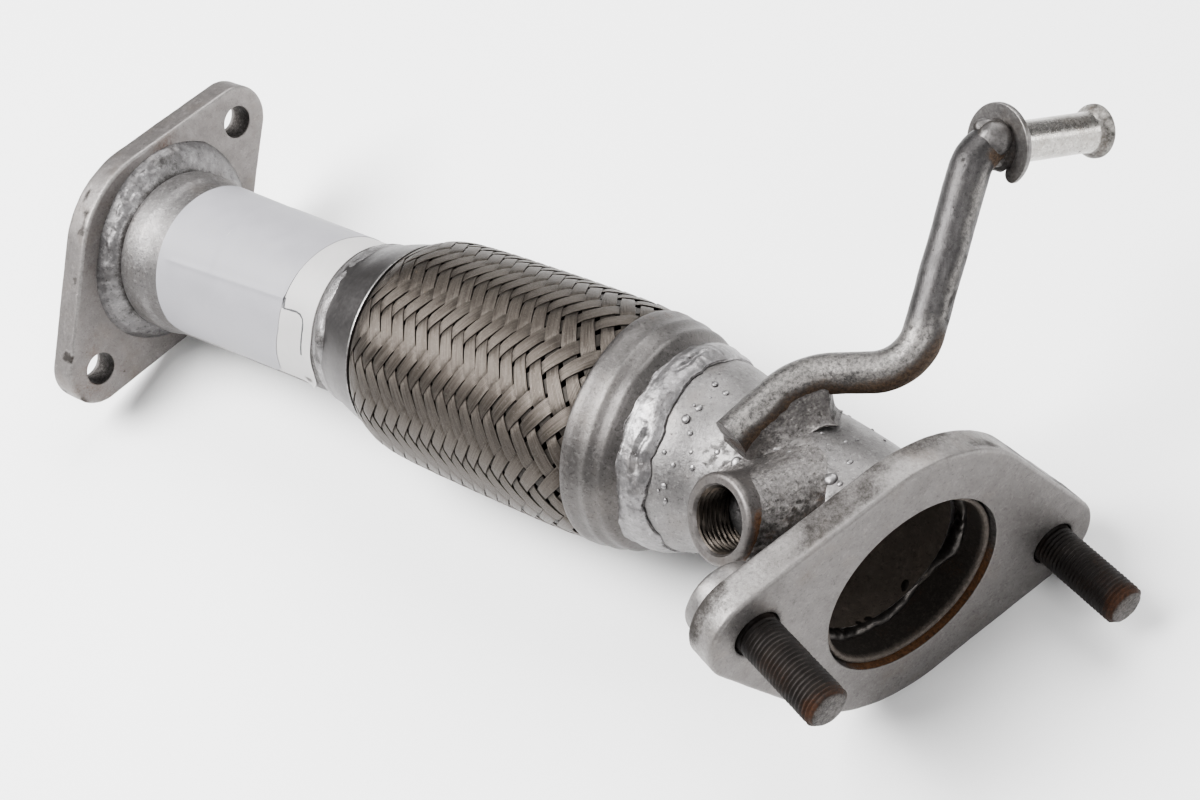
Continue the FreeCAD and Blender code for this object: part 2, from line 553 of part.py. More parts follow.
path = bent_wire(corners, radii)
start = (corners[1] - corners[0]).normalize()
ring = Part.Wire([Part.Circle(corners[0], start, V["rod_rad"]).toShape()])
rod_shape = path.makePipeShell([ring], True, False)
print("rod volume", round(rod_shape.Volume, 1), "section x length",
      round(math.pi * V["rod_rad"] ** 2 * path.Length, 1))
ht, hr, rr = V["rod_head_thick"], V["rod_head_rad"], V["rod_rad"]
head = Part.makeCone(rr, hr - 0.25, 2.2, corners[4] - pin_dir * (ht + 2.2), pin_dir)
head = head.fuse(Part.makeCylinder(hr, ht, corners[4] - pin_dir * ht, pin_dir))
rod_shape = rod_shape.fuse(head).removeSplitter()
b = doc.addObject("Part::Feature", "hanger_rod")
b.Shape = rod_shape
b.Label = "hanger_rod"
rod = b
rod_copy = doc.addObject("Part::Feature", "rod_in_pipe_frame")
rod_copy.Shape = rod_shape
keep(b)

# weld that fills the gap between rod and pipe: a run beside the first leg and
# a post under the bend, where the rod lifts off
seg_dir = (corners[2] - corners[1]).normalize()


def to_pipe(p):
    """Direction from a point of the rod to the pipe's centre line."""
    rise = V["bend_rad"] - math.sqrt(V["bend_rad"] ** 2 - (p.x - V["bend_start"]) ** 2)
    return (Vector(p.x, rise, 0) - p).normalize()


run_at = corners[0] + start * 2.5
run_in = to_pipe(run_at)
run_in = (run_in - start * run_in.dot(start)).normalize()
weld_run = prim("Part::Cylinder", "rod_weld_bar",
                Placement(run_at + run_in * 3.4, Rotation(Vector(0, 0, 1), start)),
                Radius="rod_weld_rad", Height="rod_weld_run")
post_at = corners[1] + seg_dir * 4.6 + to_pipe(corners[1]) * 1.4
weld_post = prim("Part::Cylinder", "rod_weld_foot",
                 Placement(post_at, Rotation(Vector(0, 0, 1), to_pipe(post_at))),
                 Radius="rod_weld_post", Height=16.0)
both = doc.addObject("Part::MultiFuse", "rod_weld_whole")
both.Shapes = [weld_run, weld_post]
b = cut("hanger_rod_weld", both, [elbow_out, rod_copy, boss_raw, bung_weld_raw])
keep(b)

# slotted stop washer at the corner of the rod, square to the pin
wc = corners[3] + pin_dir * V["washer_from_corner"]
side_a = pin_dir.cross(Vector(0, 0, 1)).normalize()
side_b = pin_dir.cross(side_a)
WASHER = frame(wc, side_a, side_b, pin_dir)
b = new_body("hanger_washer")
sk = new_sketch(b, "washer_outline", "XY_Plane")
R, r, wr = V["washer_rad"], V["rod_rad"], V["washer_corner"]
# slot opens towards -Y; its end is a half circle round the rod
cyw = -math.sqrt((R - wr) ** 2 - (r + wr) ** 2)          # centre height of the rounded tips
cxw = r + wr
ta = math.atan2(cyw, cxw)
sk.addGeometry(Part.ArcOfCircle(Part.Circle(Vector(0, 0, 0), Vector(0, 0, 1), R), ta, math.pi - ta), False)
sk.addGeometry(Part.ArcOfCircle(Part.Circle(Vector(-cxw, cyw, 0), Vector(0, 0, 1), wr), math.pi - ta, 2 * math.pi), False)
sk.addGeometry(Part.LineSegment(Vector(-r, cyw, 0), Vector(-r, 0, 0)), False)
sk.addGeometry(Part.ArcOfCircle(Part.Circle(Vector(0, 0, 0), Vector(0, 0, 1), r), 0, math.pi), False)
sk.addGeometry(Part.LineSegment(Vector(r, 0, 0), Vector(r, cyw, 0)), False)
sk.addGeometry(Part.ArcOfCircle(Part.Circle(Vector(cxw, cyw, 0), Vector(0, 0, 1), wr), math.pi, 2 * math.pi + ta), False)
for ga, pa, gb, pb in ((0, 2, 1, 1), (1, 2, 2, 1), (2, 2, 3, 2), (3, 1, 4, 1), (4, 2, 5, 1), (5, 2, 0, 1)):
    sk.addConstraint(Sketcher.Constraint("Tangent", ga, pa, gb, pb))
for g in (0, 3):
    sk.addConstraint(Sketcher.Constraint("Coincident", g, 3, -1, 1))
sk.addConstraint(Sketcher.Constraint("Vertical", 2))
for g, alias in ((0, "washer_rad"), (3, "rod_rad"), (1, "washer_corner"), (5, "washer_corner")):
    c = sk.addConstraint(Sketcher.Constraint("Radius", g, V[alias]))
    sk.setExpression("Constraints[%d]" % c, "Sheet." + alias)
pad = b.newObject("PartDesign::Pad", "washer_pad")
pad.Profile = sk
pad.setExpression("Length", "Sheet.washer_thick")
doc.recompute()
keep(b, WASHER.multiply(Placement(Vector(0, 0, -V["washer_thick"] / 2), Rotation())))

washer_weld = prim("Part::Cone", "washer_weld_ring",
                   WASHER.multiply(Placement(Vector(0, 0, -V["washer_thick"] / 2 - 3.4), Rotation())),
                   Radius1=5.9, Radius2=8.4, Height=3.4)
b = cut("hanger_washer_weld", washer_weld, [rod_copy])
keep(b)

# ------------------------------------------------------------ check and write
doc.recompute()
bad = []
for obj in doc.Objects:
    if "Invalid" in obj.State or "Error" in obj.State:
        bad.append("%s: %s" % (obj.Name, obj.State))
for name, obj in OUT:
    if obj.Shape.isNull() or not obj.Shape.isValid() or obj.Shape.Volume <= 0:
        bad.append("%s: bad shape" % name)
if bad:
    raise RuntimeError("; ".join(bad))

os.makedirs("parts", exist_ok=True)
for name, obj in OUT:
    obj.Shape.exportStep(os.path.join("parts", name + ".step"))
    bb = obj.Shape.BoundBox
    print("%-20s solids %d volume %.0f box %s" % (
        name, len(obj.Shape.Solids), obj.Shape.Volume,
        [round(v, 1) for v in (bb.XMin, bb.YMin, bb.ZMin, bb.XMax, bb.YMax, bb.ZMax)]))
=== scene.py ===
import bmesh
import bpy
import math
import numpy as np
from mathutils import Matrix, Vector
from mathutils.geometry import delaunay_2d_cdt


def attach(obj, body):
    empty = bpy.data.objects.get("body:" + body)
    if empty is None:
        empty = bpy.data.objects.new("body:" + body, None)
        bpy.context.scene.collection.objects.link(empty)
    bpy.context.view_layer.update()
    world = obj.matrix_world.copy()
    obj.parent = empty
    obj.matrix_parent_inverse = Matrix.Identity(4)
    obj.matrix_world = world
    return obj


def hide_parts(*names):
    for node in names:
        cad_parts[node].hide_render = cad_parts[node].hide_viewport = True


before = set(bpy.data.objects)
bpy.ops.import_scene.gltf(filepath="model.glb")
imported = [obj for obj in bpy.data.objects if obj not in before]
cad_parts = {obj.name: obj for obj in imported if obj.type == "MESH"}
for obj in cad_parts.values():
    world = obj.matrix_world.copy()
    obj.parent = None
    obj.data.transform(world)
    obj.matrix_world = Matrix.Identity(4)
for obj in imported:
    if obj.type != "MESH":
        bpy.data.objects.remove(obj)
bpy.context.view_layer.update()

# ------------------------------------------------------------------ placing
# Pieces are drawn in millimetres in the pipe's own frame: X along the flexible
# section from the rear plate's outer face, elbow bending in XY.
PITCH, ROLL = math.radians(-1.1965268), math.radians(-176.6141251)
RY = np.array([[math.cos(PITCH), 0, math.sin(PITCH)], [0, 1, 0], [-math.sin(PITCH), 0, math.cos(PITCH)]])
RX = np.array([[1, 0, 0], [0, math.cos(ROLL), -math.sin(ROLL)], [0, math.sin(ROLL), math.cos(ROLL)]])
ROT = RY @ RX
SHIFT = np.array([-176.551, -25.898, 36.573])


def to_row(p):
    return (np.asarray(p, float) @ ROT.T + SHIFT) / 1000.0


# front plate: centre of its face, in-plane axes and outward normal
FT = math.radians(20.485)
CF = np.array([310.91, 12.98, 0.0])
FU = np.array([-math.sin(FT), math.cos(FT), 0.0])
FW = np.array([0.0, 0.0, 1.0])
FN = np.array([math.cos(FT), math.sin(FT), 0.0])


def front(p):
    """Plate frame (u, w, n) to pipe frame."""
    p = np.asarray(p, float)
    return CF + p[..., 0:1] * FU + p[..., 1:2] * FW + p[..., 2:3] * FN


# elbow centre line
XB, RB, RE = 249.1, 149.9, 25.1
DEG = math.pi / 180


def hash3(a, b, c, seed):
    n = (a * 73856093) ^ (b * 19349663) ^ (c * 83492791) ^ (seed * 2654435761)
    n = n & 0xffffffff
    n = ((n ^ (n >> 15)) * 2246822519) & 0xffffffff
    n = ((n ^ (n >> 13)) * 3266489917) & 0xffffffff
    return ((n ^ (n >> 16)) & 0xffff) / 65535.0


def vnoise(p, seed=0):
    """Smooth noise from 0 to 1 at points p (..., 3)."""
    p = np.asarray(p, float)
    i = np.floor(p).astype(np.int64)
    f = p - i
    f = f * f * (3 - 2 * f)
    out = 0
    for dx in (0, 1):
        for dy in (0, 1):
            for dz in (0, 1):
                w = ((f[..., 0] if dx else 1 - f[..., 0]) * (f[..., 1] if dy else 1 - f[..., 1])
                     * (f[..., 2] if dz else 1 - f[..., 2]))
                out = out + w * hash3(i[..., 0] + dx, i[..., 1] + dy, i[..., 2] + dz, seed)
    return out


def fbm(p, scale, octaves=3, seed=0):
    """Noise from -1 to 1; scale in millimetres."""
    p = np.asarray(p, float) / scale
    total, amp, norm = 0, 1.0, 0.0
    for k in range(octaves):
        total = total + amp * (vnoise(p * 2.03 ** k, seed + k) * 2 - 1)
        norm += amp
        amp *= 0.5
    return total / norm


def smooth(a, b, x):
    t = np.clip((np.asarray(x, float) - a) / (b - a), 0, 1)
    return t * t * (3 - 2 * t)


# -------------------------------------------------------------------- meshes
# plates built from separate flat faces, whose winding is set where they are made
FLAT_PLATES = ("front_flange_look", "rear_flange_look", "hanger_washer_look")


def make(name, verts, faces, mat, node=None, uv=None, attrs=None, sharp=35, row=False,
         mats=None, face_mat=None, extra_nodes=()):
    """One piece: pipe-frame millimetres to a mesh in the row's metres."""
    co = np.asarray(verts, float) if row else to_row(verts)
    me = bpy.data.meshes.new(name)
    me.from_pydata(co.tolist(), [], faces if isinstance(faces, list) else faces.tolist())
    me.polygons.foreach_set("use_smooth", [True] * len(me.polygons))
    if uv is not None:
        lay = me.uv_layers.new(name="UVMap")
        idx = np.empty(len(me.loops), np.int32)
        me.loops.foreach_get("vertex_index", idx)
        lay.data.foreach_set("uv", np.asarray(uv, np.float32)[idx].ravel())
    for key, val in (attrs or {}).items():
        a = me.attributes.new(key, "FLOAT", "POINT")
        a.data.foreach_set("value", np.asarray(val, np.float32).ravel())
    if name not in FLAT_PLATES:
        # every face looks outwards
        bm = bmesh.new()
        bm.from_mesh(me)
        bmesh.ops.recalc_face_normals(bm, faces=bm.faces)
        bm.to_mesh(me)
        bm.free()
        me.update()
    if sharp:
        me.set_sharp_from_angle(angle=math.radians(sharp))
    for m in (mats or [mat]):
        me.materials.append(m)
    if face_mat is not None:
        me.polygons.foreach_set("material_index", face_mat)
    ob = bpy.data.objects.new(name, me)
    bpy.context.scene.collection.objects.link(ob)
    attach(ob, "root")
    if node:
        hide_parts(node, *extra_nodes)
    return ob


def quads(nu, nv, wrap_u=False, wrap_v=False, base=0, flip=False):
    """Faces of a grid whose vertex (i, j) is i * nv + j."""
    iu = np.arange(nu if wrap_u else nu - 1)
    jv = np.arange(nv if wrap_v else nv - 1)
    I, J = np.meshgrid(iu, jv, indexing="ij")
    I2, J2 = (I + 1) % nu, (J + 1) % nv
    q = np.stack([I * nv + J, I2 * nv + J, I2 * nv + J2, I * nv + J2], -1).reshape(-1, 4) + base
    return q[:, ::-1] if flip else q


def dense(points, step):
    """Points added along a polyline so that no run is longer than step."""
    out = []
    for a, b in zip(points[:-1], points[1:]):
        a, b = np.array(a, float), np.array(b, float)
        n = max(1, int(math.ceil(np.linalg.norm(b - a) / step)))
        for k in range(n):
            out.append(a + (b - a) * k / n)
    out.append(np.array(points[-1], float))
    return np.array(out)


def soften(points, rounds=1, keep=()):
    """Corner cutting of a closed profile."""
    p = np.array(points, float)
    for _ in range(rounds):
        q = []
        n = len(p)
        for i in range(n):
            a, b = p[i], p[(i + 1) % n]
            q += [a * 0.8 + b * 0.2, a * 0.2 + b * 0.8]
        p = np.array(q)
    return p


def ring_grid(profile, nseg, closed=True, rot=0.0):
    """Surface of revolution about X. Returns the grids (X, R, theta)."""
    prof = np.array(profile, float)
    th = np.arange(nseg) / nseg * 2 * math.pi + rot
    X = np.repeat(prof[:, 0:1], nseg, 1)
    R = np.repeat(prof[:, 1:2], nseg, 1)
    T = np.repeat(th[None, :], len(prof), 0)
    return X, R, T


def xyz(X, R, T):
    return np.stack([X, R * np.cos(T), R * np.sin(T)], -1)


def revolve(name, profile, mat, node=None, nseg=160, disp=None, frame_fn=None, sharp=35, attrs=None,
            step=None, extra_nodes=()):
    """Closed ring from a closed (x, r) profile; disp(X, R, T) gives (dx, dr)."""
    prof = list(profile)
    if step:
        prof = dense(prof + [prof[0]], step)[:-1]
    X, R, T = ring_grid(prof, nseg)
    if disp:
        dx, dr = disp(X, R, T)
        X, R = X + dx, R + dr
    V = xyz(X, R, T)
    P = V if frame_fn is None else frame_fn(V)
    flat = P.reshape(-1, 3)
    at = {k: f(X, R, T, P).ravel() for k, f in (attrs or {}).items()}
    return make(name, flat, quads(len(prof), nseg, True, True), mat, node, attrs=at, sharp=sharp,
                extra_nodes=extra_nodes)


def join_meshes(parts):
    """[(verts, faces, attrs)] to one."""
    vs, fs, at, n = [], [], {}, 0
    keys = sorted({k for p in parts for k in p[2]})
    for v, f, a in parts:
        v = np.asarray(v, float).reshape(-1, 3)
        vs.append(v)
        fs += [[int(i) + n for i in face] for face in f]
        for k in keys:
            at.setdefault(k, []).append(np.asarray(a[k], float).ravel() if k in a else np.zeros(len(v)))
        n += len(v)
    return np.vstack(vs), fs, {k: np.concatenate(x) for k, x in at.items()}


def blob(centre, radii, axes=None, seg=12, rings=8, seed=0, lump=0.12, lump_scale=None):
    """A lumpy ellipsoid; centre in pipe frame, radii along the axes."""
    th = np.linspace(0, math.pi, rings + 1)[1:-1]
    ph = np.arange(seg) / seg * 2 * math.pi
    T, Pp = np.meshgrid(th, ph, indexing="ij")
    d = np.stack([np.sin(T) * np.cos(Pp), np.sin(T) * np.sin(Pp), np.cos(T)], -1).reshape(-1, 3)
    d = np.vstack([d, [[0, 0, 1], [0, 0, -1]]])
    r = np.array(radii, float)
    amp = 1 + lump * fbm(d * 10 + seed * 13.7, 6.0 if lump_scale is None else lump_scale, 2, seed)[:, None]
    v = d * r * amp
    if axes is not None:
        v = v @ np.array(axes, float)
    v = v + np.array(centre, float)
    n = rings - 1
    f = quads(n, seg, False, True).tolist()
    top, bot = n * seg, n * seg + 1
    for j in range(seg):
        f.append([top, j, (j + 1) % seg][::1])
        f.append([bot, (n - 1) * seg + (j + 1) % seg, (n - 1) * seg + j])
    return v, f


def elbow_pt(s, th, r):
    """Point at station s along the front tube (s = x up to the bend), turned th about its axis."""
    s, th, r = np.broadcast_arrays(np.asarray(s, float), np.asarray(th, float), np.asarray(r, float))
    a = np.maximum(s - XB, 0) / RB
    cx = np.where(s < XB, s, XB + RB * np.sin(a))
    cy = RB * (1 - np.cos(a))
    y = r * np.cos(th)
    return np.stack([cx - np.sin(a) * y, cy + np.cos(a) * y, r * np.sin(th)], -1)


# ----------------------------------------------------------------- materials
class Nodes:
    """Short forms for building a node tree."""

    def __init__(self, name):
        self.mat = bpy.data.materials.new(name)
        self.mat.use_nodes = True
        self.t = self.mat.node_tree
        self.t.nodes.clear()
        self.out = self.t.nodes.new("ShaderNodeOutputMaterial")
        self.bsdf = self.t.nodes.new("ShaderNodeBsdfPrincipled")
        self.t.links.new(self.bsdf.outputs[0], self.out.inputs[0])
        tc = self.t.nodes.new("ShaderNodeTexCoord")
        self.obj, self.uv = tc.outputs["Object"], tc.outputs["UV"]

    def link(self, a, b):
        self.t.links.new(a, b)

    def put(self, sock, val):
        if isinstance(val, bpy.types.NodeSocket):
            self.link(val, sock)
        else:
            sock.default_value = val

    def math(self, op, a, b=0.0, c=None, clamp=False):
        n = self.t.nodes.new("ShaderNodeMath")
        n.operation, n.use_clamp = op, clamp
        self.put(n.inputs[0], a)
        self.put(n.inputs[1], b)
        if c is not None:
            self.put(n.inputs[2], c)
        return n.outputs[0]

    def noise(self, mm, detail=3.0, rough=0.55, vec=None, seed=0.0, distort=0.0):
        n = self.t.nodes.new("ShaderNodeTexNoise")
        n.noise_dimensions = "4D"
        n.inputs["W"].default_value = seed
        n.inputs["Scale"].default_value = 1000.0 / mm
        n.inputs["Detail"].default_value = detail
        n.inputs["Roughness"].default_value = rough
        n.inputs["Distortion"].default_value = distort
        self.link(vec or self.obj, n.inputs["Vector"])
        return n.outputs["Fac"]

    def voronoi(self, mm, vec=None, feature="F1", rand=1.0):
        n = self.t.nodes.new("ShaderNodeTexVoronoi")
        n.feature = feature
        n.inputs["Scale"].default_value = 1000.0 / mm
        n.inputs["Randomness"].default_value = rand
        self.link(vec or self.obj, n.inputs["Vector"])
        return n.outputs["Distance"]

    def ramp(self, x, lo, hi, a=0.0, b=1.0):
        n = self.t.nodes.new("ShaderNodeMapRange")
        n.interpolation_type = "SMOOTHSTEP"
        n.inputs["From Min"].default_value, n.inputs["From Max"].default_value = lo, hi
        n.inputs["To Min"].default_value, n.inputs["To Max"].default_value = a, b
        self.link(x, n.inputs["Value"])
        return n.outputs["Result"]

    def mix(self, fac, a, b, mode="MIX"):
        n = self.t.nodes.new("ShaderNodeMix")
        n.data_type, n.blend_type = "RGBA", mode
        n.clamp_factor = True
        self.put(n.inputs["Factor"], fac)
        for key, v in ((6, a), (7, b)):
            self.put(n.inputs[key], v if isinstance(v, bpy.types.NodeSocket) else tuple(v) + (1.0,))
        return n.outputs[2]

    def mixf(self, fac, a, b):
        n = self.t.nodes.new("ShaderNodeMix")
        n.data_type = "FLOAT"
        self.put(n.inputs["Factor"], fac)
        self.put(n.inputs[2], a)
        self.put(n.inputs[3], b)
        return n.outputs[0]

    def attr(self, name):
        n = self.t.nodes.new("ShaderNodeAttribute")
        n.attribute_name = name
        return n.outputs["Fac"]

    def bump(self, height, strength, mm, normal=None):
        n = self.t.nodes.new("ShaderNodeBump")
        n.inputs["Strength"].default_value = strength
        n.inputs["Distance"].default_value = mm / 1000.0
        self.link(height, n.inputs["Height"])
        if normal:
            self.link(normal, n.inputs["Normal"])
        return n.outputs[0]

    def near(self, points, mm):
        """1 at the given row-frame points, falling to 0 at that distance."""
        best = None
        for p in points:
            n = self.t.nodes.new("ShaderNodeVectorMath")
            n.operation = "DISTANCE"
            self.link(self.obj, n.inputs[0])
            n.inputs[1].default_value = p
            best = n.outputs["Value"] if best is None else self.math("MINIMUM", best, n.outputs["Value"])
        return self.ramp(best, mm / 1000.0, 0.0)


def steel(name, light=(0.34, 0.33, 0.325), dark=(0.20, 0.192, 0.187), rough=(0.30, 0.50), metallic=0.9,
          grain=0.08, grain_mm=0.35, mottle_mm=9.0, pits=0.6, rust=(0.16, 0.075, 0.032), speckle=0.6, lumps=0.0,
          stain=0.25, bright=(0.62, 0.60, 0.575), tint=(0.17, 0.135, 0.105)):
    k = Nodes(name)
    big = k.noise(mottle_mm * 2.2, 4, 0.6, seed=1.3)
    mid = k.noise(mottle_mm * 0.5, 4, 0.6, seed=4.1)
    fine = k.noise(grain_mm * 3.0, 5, 0.75, seed=7.7)
    grit = k.noise(grain_mm, 2, 0.6, seed=2.2)
    f = k.math("ADD", k.math("MULTIPLY", k.ramp(big, 0.32, 0.68), 0.35), k.math("MULTIPLY", k.ramp(mid, 0.3, 0.7), 0.65))
    col = k.mix(f, tuple(0.55 * a + 0.45 * b for a, b in zip(dark, light)), light)
    # light and dark grains of the blasted surface
    sp = k.ramp(fine, 0.50, 0.66)
    col = k.mix(k.math("MULTIPLY", sp, 0.6 * speckle), col, tuple(min(1.0, c * 1.75) for c in light))
    sd = k.ramp(k.noise(grain_mm * 2.4, 5, 0.8, seed=13.1), 0.51, 0.66)
    col = k.mix(k.math("MULTIPLY", sd, 0.8 * speckle), col, tuple(c * 0.40 for c in dark))
    # sparse dark specks
    ds = k.ramp(k.noise(1.1, 3, 0.7, seed=27.5), 0.66, 0.71)
    col = k.mix(k.math("MULTIPLY", ds, 0.75 * pits), col, tuple(c * 0.22 for c in dark))
    # brownish stains
    st = k.math("MULTIPLY", k.ramp(k.noise(mottle_mm * 1.3, 5, 0.65, seed=11.0), 0.50, 0.74), stain)
    col = k.mix(st, col, tint)
    # small dark pits
    v = k.noise(2.6, 3, 0.6, seed=21.0)
    pit = k.math("MULTIPLY", k.ramp(v, 0.700, 0.745), pits)
    col = k.mix(pit, col, (0.035, 0.031, 0.028))
    # worn bright metal and painted highlights, soot and painted shade, and rust, by place
    brk = k.noise(0.9, 5, 0.75, seed=5.0)
    wear = k.math("MULTIPLY", k.attr("wear"), k.ramp(brk, 0.30, 0.66), clamp=True)
    col = k.mix(k.math("MULTIPLY", wear, 0.85), col, bright)
    sn = k.noise(0.95, 6, 0.82, seed=9.0)
    sa = k.math("ADD", k.attr("soot"), k.math("MULTIPLY", k.math("SUBTRACT", sn, 0.5), 1.5))
    soot = k.math("MULTIPLY", k.ramp(sa, 0.15, 1.0), k.ramp(k.attr("soot"), 0.0, 0.25), clamp=True)
    col = k.mix(k.math("MULTIPLY", soot, 0.93), col, (0.022, 0.019, 0.017))
    rn = k.noise(0.85, 6, 0.85, seed=15.0)
    ra = k.math("ADD", k.attr("rust"), k.math("MULTIPLY", k.math("SUBTRACT", rn, 0.5), 1.6))
    rustf = k.math("MULTIPLY", k.ramp(ra, 0.15, 1.0), k.ramp(k.attr("rust"), 0.0, 0.25), clamp=True)
    rc = k.mix(k.ramp(k.noise(1.0, 5, 0.8, seed=31.0), 0.32, 0.66), tuple(c * 0.25 for c in rust), rust)
    col = k.mix(k.math("MULTIPLY", rustf, 0.93), col, rc)
    k.link(col, k.bsdf.inputs["Base Color"])
    k.bsdf.inputs["Specular IOR Level"].default_value = 0.22
    dirt = k.math("MAXIMUM", rustf, k.math("MULTIPLY", soot, 0.8))
    k.link(k.math("SUBTRACT", metallic, k.math("MULTIPLY", dirt, metallic * 0.85)), k.bsdf.inputs["Metallic"])
    r = k.mixf(f, rough[1], rough[0])
    r = k.math("ADD", r, k.math("MULTIPLY", k.math("SUBTRACT", fine, 0.5), 0.35))
    r = k.mixf(dirt, r, 0.72)
    k.link(k.math("MINIMUM", k.math("MAXIMUM", r, 0.12), 1.0), k.bsdf.inputs["Roughness"])
    h = k.math("ADD", k.math("MULTIPLY", grit, 0.5), fine)
    h = k.math("SUBTRACT", h, k.math("MULTIPLY", pit, 1.5))
    h = k.math("ADD", h, k.math("MULTIPLY", k.noise(0.6, 4, 0.75, seed=17.0), k.math("MULTIPLY", dirt, 2.2)))
    n = k.bump(h, 0.9, grain)
    if lumps:
        n = k.bump(k.noise(3.2, 3, 0.5, seed=3.0), 0.8, lumps, n)
    k.link(n, k.bsdf.inputs["Normal"])
    return k.mat


M_BLAST = steel("blasted_steel", light=(0.20, 0.193, 0.19), dark=(0.13, 0.125, 0.122), rough=(0.42, 0.58), bright=(0.40, 0.39, 0.375))
M_PIPE = steel("blasted_tube", light=(0.20, 0.193, 0.191), dark=(0.135, 0.129, 0.126), grain=0.16, grain_mm=0.42, rough=(0.42, 0.56), stain=0.18, speckle=0.85, pits=0.8, bright=(0.36, 0.35, 0.34))
M_PLATE_R = steel("rear_plate_steel", light=(0.222, 0.209, 0.203), dark=(0.165, 0.153, 0.147), rough=(0.44, 0.60), stain=0.35, speckle=0.45, bright=(0.32, 0.31, 0.30))
M_PLATE_F = steel("front_plate_steel", light=(0.185, 0.175, 0.170), dark=(0.14, 0.132, 0.127), rough=(0.44, 0.58), grain=0.10, stain=0.3, speckle=0.6, bright=(0.36, 0.35, 0.34))
M_WELD = steel("weld_steel", light=(0.235, 0.228, 0.229), dark=(0.15, 0.144, 0.143), rough=(0.34, 0.48), grain=0.14, grain_mm=0.5, mottle_mm=5.0, pits=0.7, stain=0.15, speckle=0.8, bright=(0.40, 0.39, 0.388))
M_WELD_ROUGH = steel("weld_rough", light=(0.165, 0.157, 0.153), dark=(0.10, 0.093, 0.089), rough=(0.34, 0.52), grain=0.35, grain_mm=0.5, mottle_mm=2.0, lumps=0.12, pits=1.0, stain=0.1, speckle=1.0, bright=(0.40, 0.38, 0.36))
M_WELD_PALE = steel("weld_pale", light=(0.165, 0.160, 0.160), dark=(0.115, 0.110, 0.109), rough=(0.40, 0.56), grain=0.14, grain_mm=0.5, mottle_mm=8.0, lumps=0.05, pits=0.6, stain=0.12, speckle=0.9, bright=(0.34, 0.335, 0.335))
M_COLLAR_R = steel("collar_smooth", light=(0.105, 0.100, 0.099), dark=(0.088, 0.084, 0.083), rough=(0.34, 0.42), grain=0.03, speckle=0.2, pits=0.2, stain=0.06, mottle_mm=16.0, bright=(0.40, 0.39, 0.38))
M_COLLAR_F = steel("collar_blasted", light=(0.112, 0.106, 0.103), dark=(0.090, 0.084, 0.081), rough=(0.40, 0.50), grain=0.12, grain_mm=0.40, mottle_mm=14.0, stain=0.12, speckle=0.8, bright=(0.26, 0.25, 0.24))
M_ROD = steel("rod_steel", light=(0.068, 0.065, 0.065), dark=(0.052, 0.050, 0.049), rough=(0.38, 0.50), grain=0.12, grain_mm=0.38, pits=0.9, rust=(0.115, 0.076, 0.050), speckle=0.8, mottle_mm=12.0, stain=0.08, bright=(0.30, 0.285, 0.27))
M_PIN = steel("pin_plated", light=(0.43, 0.415, 0.395), dark=(0.25, 0.235, 0.215), rough=(0.22, 0.34), grain=0.05, pits=1.0, rust=(0.13, 0.085, 0.05), stain=0.40, metallic=0.96, speckle=0.8, bright=(0.70, 0.68, 0.65))
M_WASHER = steel("washer_steel", light=(0.125, 0.119, 0.117), dark=(0.085, 0.081, 0.079), rough=(0.36, 0.50), grain=0.08, pits=0.5, rust=(0.075, 0.045, 0.026), speckle=0.7, bright=(0.32, 0.31, 0.30))
M_MACH = steel("machined_steel", light=(0.140, 0.131, 0.127), dark=(0.105, 0.097, 0.092), rough=(0.40, 0.54), grain=0.06, pits=0.8, stain=0.3, speckle=0.7, bright=(0.28, 0.27, 0.26))
# near-black inside the sensor boss's threaded bore: painted shade
M_THREAD_IN = steel("thread_painted_shade", light=(0.045, 0.039, 0.034), dark=(0.015, 0.013, 0.011), rough=(0.28, 0.45), grain=0.03, pits=0.2, stain=0.5, speckle=0.3)
M_STUD = steel("stud_rusted", light=(0.008, 0.0055, 0.0045), dark=(0.004, 0.003, 0.0025), rough=(0.46, 0.62), metallic=0.1, grain=0.05, pits=0.4, stain=0.1, rust=(0.048, 0.019, 0.008), speckle=0.4, bright=(0.12, 0.110, 0.105))
M_INNER = steel("burnt_inside", light=(0.13, 0.112, 0.098), dark=(0.07, 0.060, 0.052), rough=(0.38, 0.52), grain=0.12, grain_mm=0.5, stain=0.2, lumps=0.05, rust=(0.12, 0.055, 0.022), speckle=0.6, metallic=0.45)
M_INNER_WELD = steel("burnt_weld", light=(0.075, 0.070, 0.066), dark=(0.022, 0.020, 0.019), rough=(0.28, 0.44), grain=0.05, lumps=0.06, bright=(0.20, 0.19, 0.18), speckle=0.4)
# near-black bellows: painted shade seen through the braid's gaps
M_BELLOWS_SHADE = steel("bellows_painted_shade", light=(0.02, 0.018, 0.017), dark=(0.01, 0.009, 0.008), rough=(0.5, 0.7), pits=0.0)


def paper(name, tone):
    k = Nodes(name)
    cloud = k.noise(14.0, 4, 0.6, seed=1.0)
    fib = k.noise(0.8, 4, 0.7, seed=2.0)
    col = k.mix(k.ramp(cloud, 0.3, 0.7), tuple(c * 0.92 for c in tone), tone)
    smudge = k.math("MULTIPLY", k.ramp(k.noise(7.0, 5, 0.7, seed=8.0), 0.58, 0.78), 0.35)
    col = k.mix(smudge, col, tuple(c * 0.72 for c in tone))
    sa = k.math("ADD", k.attr("soot"), k.math("MULTIPLY", k.math("SUBTRACT", k.noise(1.5, 4, 0.75, seed=9.0), 0.5), 0.9))
    soot = k.math("MULTIPLY", k.ramp(sa, 0.3, 0.9), k.ramp(k.attr("soot"), 0.0, 0.15))
    col = k.mix(soot, col, (0.05, 0.045, 0.04))
    k.link(col, k.bsdf.inputs["Base Color"])
    k.bsdf.inputs["Metallic"].default_value = 0.0
    k.link(k.ramp(cloud, 0.2, 0.8, 0.42, 0.6), k.bsdf.inputs["Roughness"])
    k.link(k.bump(k.math("ADD", k.math("MULTIPLY", fib, 0.3), k.math("MULTIPLY", k.noise(9.0, 2, 0.4, seed=6.0), 2.0)), 0.6, 0.08), k.bsdf.inputs["Normal"])
    return k.mat


